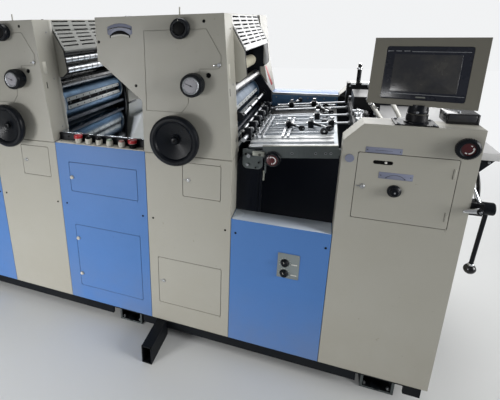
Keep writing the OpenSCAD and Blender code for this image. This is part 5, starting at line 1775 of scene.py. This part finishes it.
@dataclass
class RearTrim:
    """Plain fittings on the sides that the photograph doesn't show."""

    def build(self) -> None:
        """Make the vents, grips, locks and screws of the rear and of the delivery end."""
        self.vents()
        self.covers()
        self.delivery()

    def vents(self) -> None:
        """Louvres and screws of the three blue rear panels."""
        w = Work("rear_panel_vents", "blue", base=rear(0, PLAN.rear, 0))
        for middle, top in ((-103.5, 880), (743, 960), (-947, 880)):
            for column in (-1, 1):
                for row in range(9):
                    x, z = -middle + column * 78, top - row * 22
                    w.use("ink").tablet((x - 58, z - 3.6), (x + 58, z + 3.6), 3.4, -0.2, 0.4, 0.1)
                    w.use("blue").block((x - 57, z + 0.6, 0.2), (x + 57, z + 4.2, 5.0), 1.5)
            for side in (-1, 1):
                for z in (140, 560, top + 34):
                    w.use("ink").screw((-middle + side * 168, z, -0.2), *COVER_SCREW)
        w.finish(Slot.BLUE)

    def grip(self, w: Work, middle: Flat, half: float, bends: Sequence[Flat], radius: float, foot: float) -> None:
        """Add a bow handle with its two feet.

        Args:
            w: the piece in the making.
            middle: its middle on the face.
            half: half the distance of its feet.
            bends: distance from a foot and height of each bend.
            radius: radius of its bar.
            foot: radius of a foot.
        """
        x, z = middle
        rise = [(x - half + d, z, h) for d, h in ((0, 0), *bends)]
        w.pipe(rise + [(2 * x - a, z, h) for a, _, h in reversed(rise)], radius)
        for side in (x - half, x + half):
            w.disc(foot, -0.2, 4, (side, z, 0), steps=28, edge=(2, 2))

    def covers(self) -> None:
        """Grips, locks and screws of the rear covers and the rear cabinet."""
        w = Work("rear_cover_fittings", "plastic", base=rear(0, PLAN.rear, 0))
        for right in (PLAN.unit1, PLAN.unit2):
            middle = -(right - 200)
            for z in (760, 1300):
                self.grip(w.use("plastic"), (middle, z), 60, ((0, 16), (6, 24), (16, 28)), 6.0, 12)
            for x in (middle - 180, middle + 180):
                for z in (130, 560, 980):
                    w.use("ink").screw((x, z, -0.2), *COVER_SCREW)
            for x in (middle - 150, middle + 160):
                w.screw((x, 1540, -0.2), *COVER_SCREW)
        for x in (-1340, -970):
            for z in (130, 640, 1110):
                w.use("ink").screw((x, z, -0.2), *COVER_SCREW)
        w.use("chrome").disc(9, -0.2, 4, (-1154, 760, 0), steps=32, edge=(1.4, 1.6))
        w.finish(Slot.CREAM)

    def delivery(self) -> None:
        """Screws, grips and sprocket guards of the delivery cabinets and rails."""
        w = Work("delivery_fittings", "plastic", base=front(0, PLAN.front, 0))
        for x in (-1426, -1170):
            for z in (130, 640, 1040):
                w.use("ink").screw((x, z, -0.2), *COVER_SCREW)
        for z in (420, 900):
            self.grip(w.use("plastic"), (-1292, z), 48, ((0, 14), (4, 22), (12, 26)), 5.6, 11)
        w.use("chrome").disc(8.6, -0.2, 3.8, (-1190, 760, 0), steps=32, edge=(1.4, 1.6))
        w.finish(Slot.CREAM)
        w = Work("delivery_rail_fittings", "ground")
        for x in (-1377, -1257, -1167):
            for y in (-300, -20, 260):
                w.use("ground").ring(9.2, 19, 0, 24, (x, y, 1020), TO_REAR, 32, edge=(1, 1))
                w.use("ink").screw((x, y + 12, 1038.6), 3.2, 2.6)
        for x in (-1390, -1300, -1200):
            w.use("ground").screw((x, -424.9, 1020), 5.0, 4.0, TO_REAR)
        w.finish(Slot.DARK_STEEL)


@dataclass(frozen=True)
class Lamp:
    """A soft square lamp: its place and aim in metres, its size, light and spread in degrees."""

    name: str
    at: Point
    aim: Point
    size: float
    watts: float
    spread: float

    def hang(self) -> None:
        """Put the lamp into the scene, out of the camera's sight."""
        data = bpy.data.lights.new(self.name, "AREA")
        data.shape, data.size, data.energy, data.spread = "SQUARE", self.size, self.watts, math.radians(self.spread)
        lamp = show(self.name, data)
        lamp.visible_camera = False
        lamp.location = self.at
        lamp.rotation_mode = "QUATERNION"
        lamp.rotation_quaternion = (Vector(self.at) - Vector(self.aim)).to_track_quat("Z", "Y")


@dataclass
class Studio:
    """Floor, world, lamps and the camera, in metres; the camera's picture in pixels."""

    camera_at: Point = (0.8638, -2.0073, 1.5469)
    focal_px: float = 385.95
    centre_px: Flat = (168.0, 146.0)
    turns: Point = (18.161, 21.842, -1.569)
    size_px: Flat = (500.0, 400.0)
    floor_colour: str = "e2e3e1"
    floor_stain: str = "d2d4d3"
    haze: Colour = (0.88, 0.89, 0.9, 1.0)
    sky_light: Colour = (0.93, 0.95, 1.0, 1.0)
    sky_view: Colour = (0.93, 0.94, 0.95, 1.0)
    lamps: tuple[Lamp, ...] = (
        Lamp("key", (-2.2, -4.2, 0.8), (-0.3, -0.5, -0.5), 1.3, 23.5, 62),
        Lamp("fill", (3.6, -0.9, 1.7), (0.3, -0.2, 1.2), 1.6, 25.0, 90),
        Lamp("card", (0.8, 3.0, 2.3), (0.7, 0.0, 1.1), 2.6, 70.0, 180),
        Lamp("back", (0.0, 1.2, 4.4), (0.1, 0.0, 1.0), 2.6, 90.0, 180))

    def build(self) -> None:
        """Make the whole studio."""
        self.floor()
        self.world()
        for lamp in self.lamps:
            lamp.hang()
        self.camera()

    def camera(self) -> None:
        """Place the camera as the photograph was taken."""
        rx, ry, rz = (math.radians(a) for a in self.turns)
        down_view = Matrix(((1, 0, 0), (0, 0, -1), (0, 1, 0)))
        turn = Matrix.Rotation(rx, 3, "X") @ Matrix.Rotation(ry, 3, "Y") @ Matrix.Rotation(rz, 3, "Z") @ down_view
        right, down, ahead = turn[0], turn[1], turn[2]
        spot = Matrix((right, -down, -ahead)).transposed().to_4x4()
        spot.translation = Vector(self.camera_at)
        data = bpy.data.cameras.new("camera")
        cam = show("camera", data)
        wide, tall = self.size_px
        data.lens = self.focal_px * data.sensor_width / wide
        data.shift_x = (wide / 2 - self.centre_px[0]) / wide
        data.shift_y = -(tall / 2 - self.centre_px[1]) / wide
        data.clip_start, data.clip_end = 0.05, 60.0
        cam.matrix_world = spot
        bpy.context.scene.camera = cam

    def floor(self) -> None:
        """Make the pale floor."""
        mesh = bmesh.new()
        bmesh.ops.create_grid(mesh, x_segments=1, y_segments=1, size=12.0)
        data = bpy.data.meshes.new("studio_floor")
        mesh.to_mesh(data)
        mesh.free()
        floor = show("studio_floor", data)
        s = Sheet("studio_floor_paint")
        t = s.t
        paint = t.over(t.noise(s.where, 1.3, 3.0), 0.12, linear(self.floor_colour), self.floor_stain)
        far = t.ramp(t.node("VectorMath", {0: s.where}, operation="LENGTH").outputs["Value"], 1.2, 4.5)
        seen = t.math("MULTIPLY", far, t.node("LightPath").outputs["Is Camera Ray"])
        data.materials.append(s.feed(
            Base_Color=t.mix(seen, paint, NO_LIGHT), Roughness=0.75,
            Emission_Color=t.mix(seen, NO_LIGHT, self.haze), Emission_Strength=1.0))

    def world(self) -> None:
        """Give the world an even pale light and a white view."""
        world = bpy.data.worlds.new("studio")
        bpy.context.scene.world = world
        world.use_nodes = True
        t = Tree(world.node_tree)
        back = world.node_tree.nodes["Background"]
        path = t.node("LightPath").outputs
        camera, glossy = path["Is Camera Ray"], path["Is Glossy Ray"]
        t.feed(back.inputs["Color"], t.mix(t.math("MAXIMUM", camera, glossy), self.sky_light, self.sky_view))
        strength = t.math("MULTIPLY_ADD", camera, 0.75)
        strength.node.inputs[2].default_value = 0.2
        t.feed(back.inputs["Strength"], t.math("ADD", strength, t.math("MULTIPLY", glossy, 0.1)))


def main() -> None:
    """Build the press in order and report each piece."""
    logging.basicConfig(level=logging.INFO, format="%(message)s")
    settings = bpy.context.scene.view_settings
    settings.view_transform = "Standard"
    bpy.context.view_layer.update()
    Studio().build()
    CadDress().build()
    for piece in (UnitTrim(1, PLAN.unit1), UnitTrim(2, PLAN.unit2), DoorFittings(), PanelFittings(), ButtonRow(),
                  ConsoleTrim(),
                  ScreenTrim(), FeedBoardTrim(), FeederTrim(), LeverTrim(), EdgeTrim(), BaseTrim(), RearTrim()):
        piece.build()
        log.info("%s finished", type(piece).__name__)


if __name__ == "__main__":
    main()
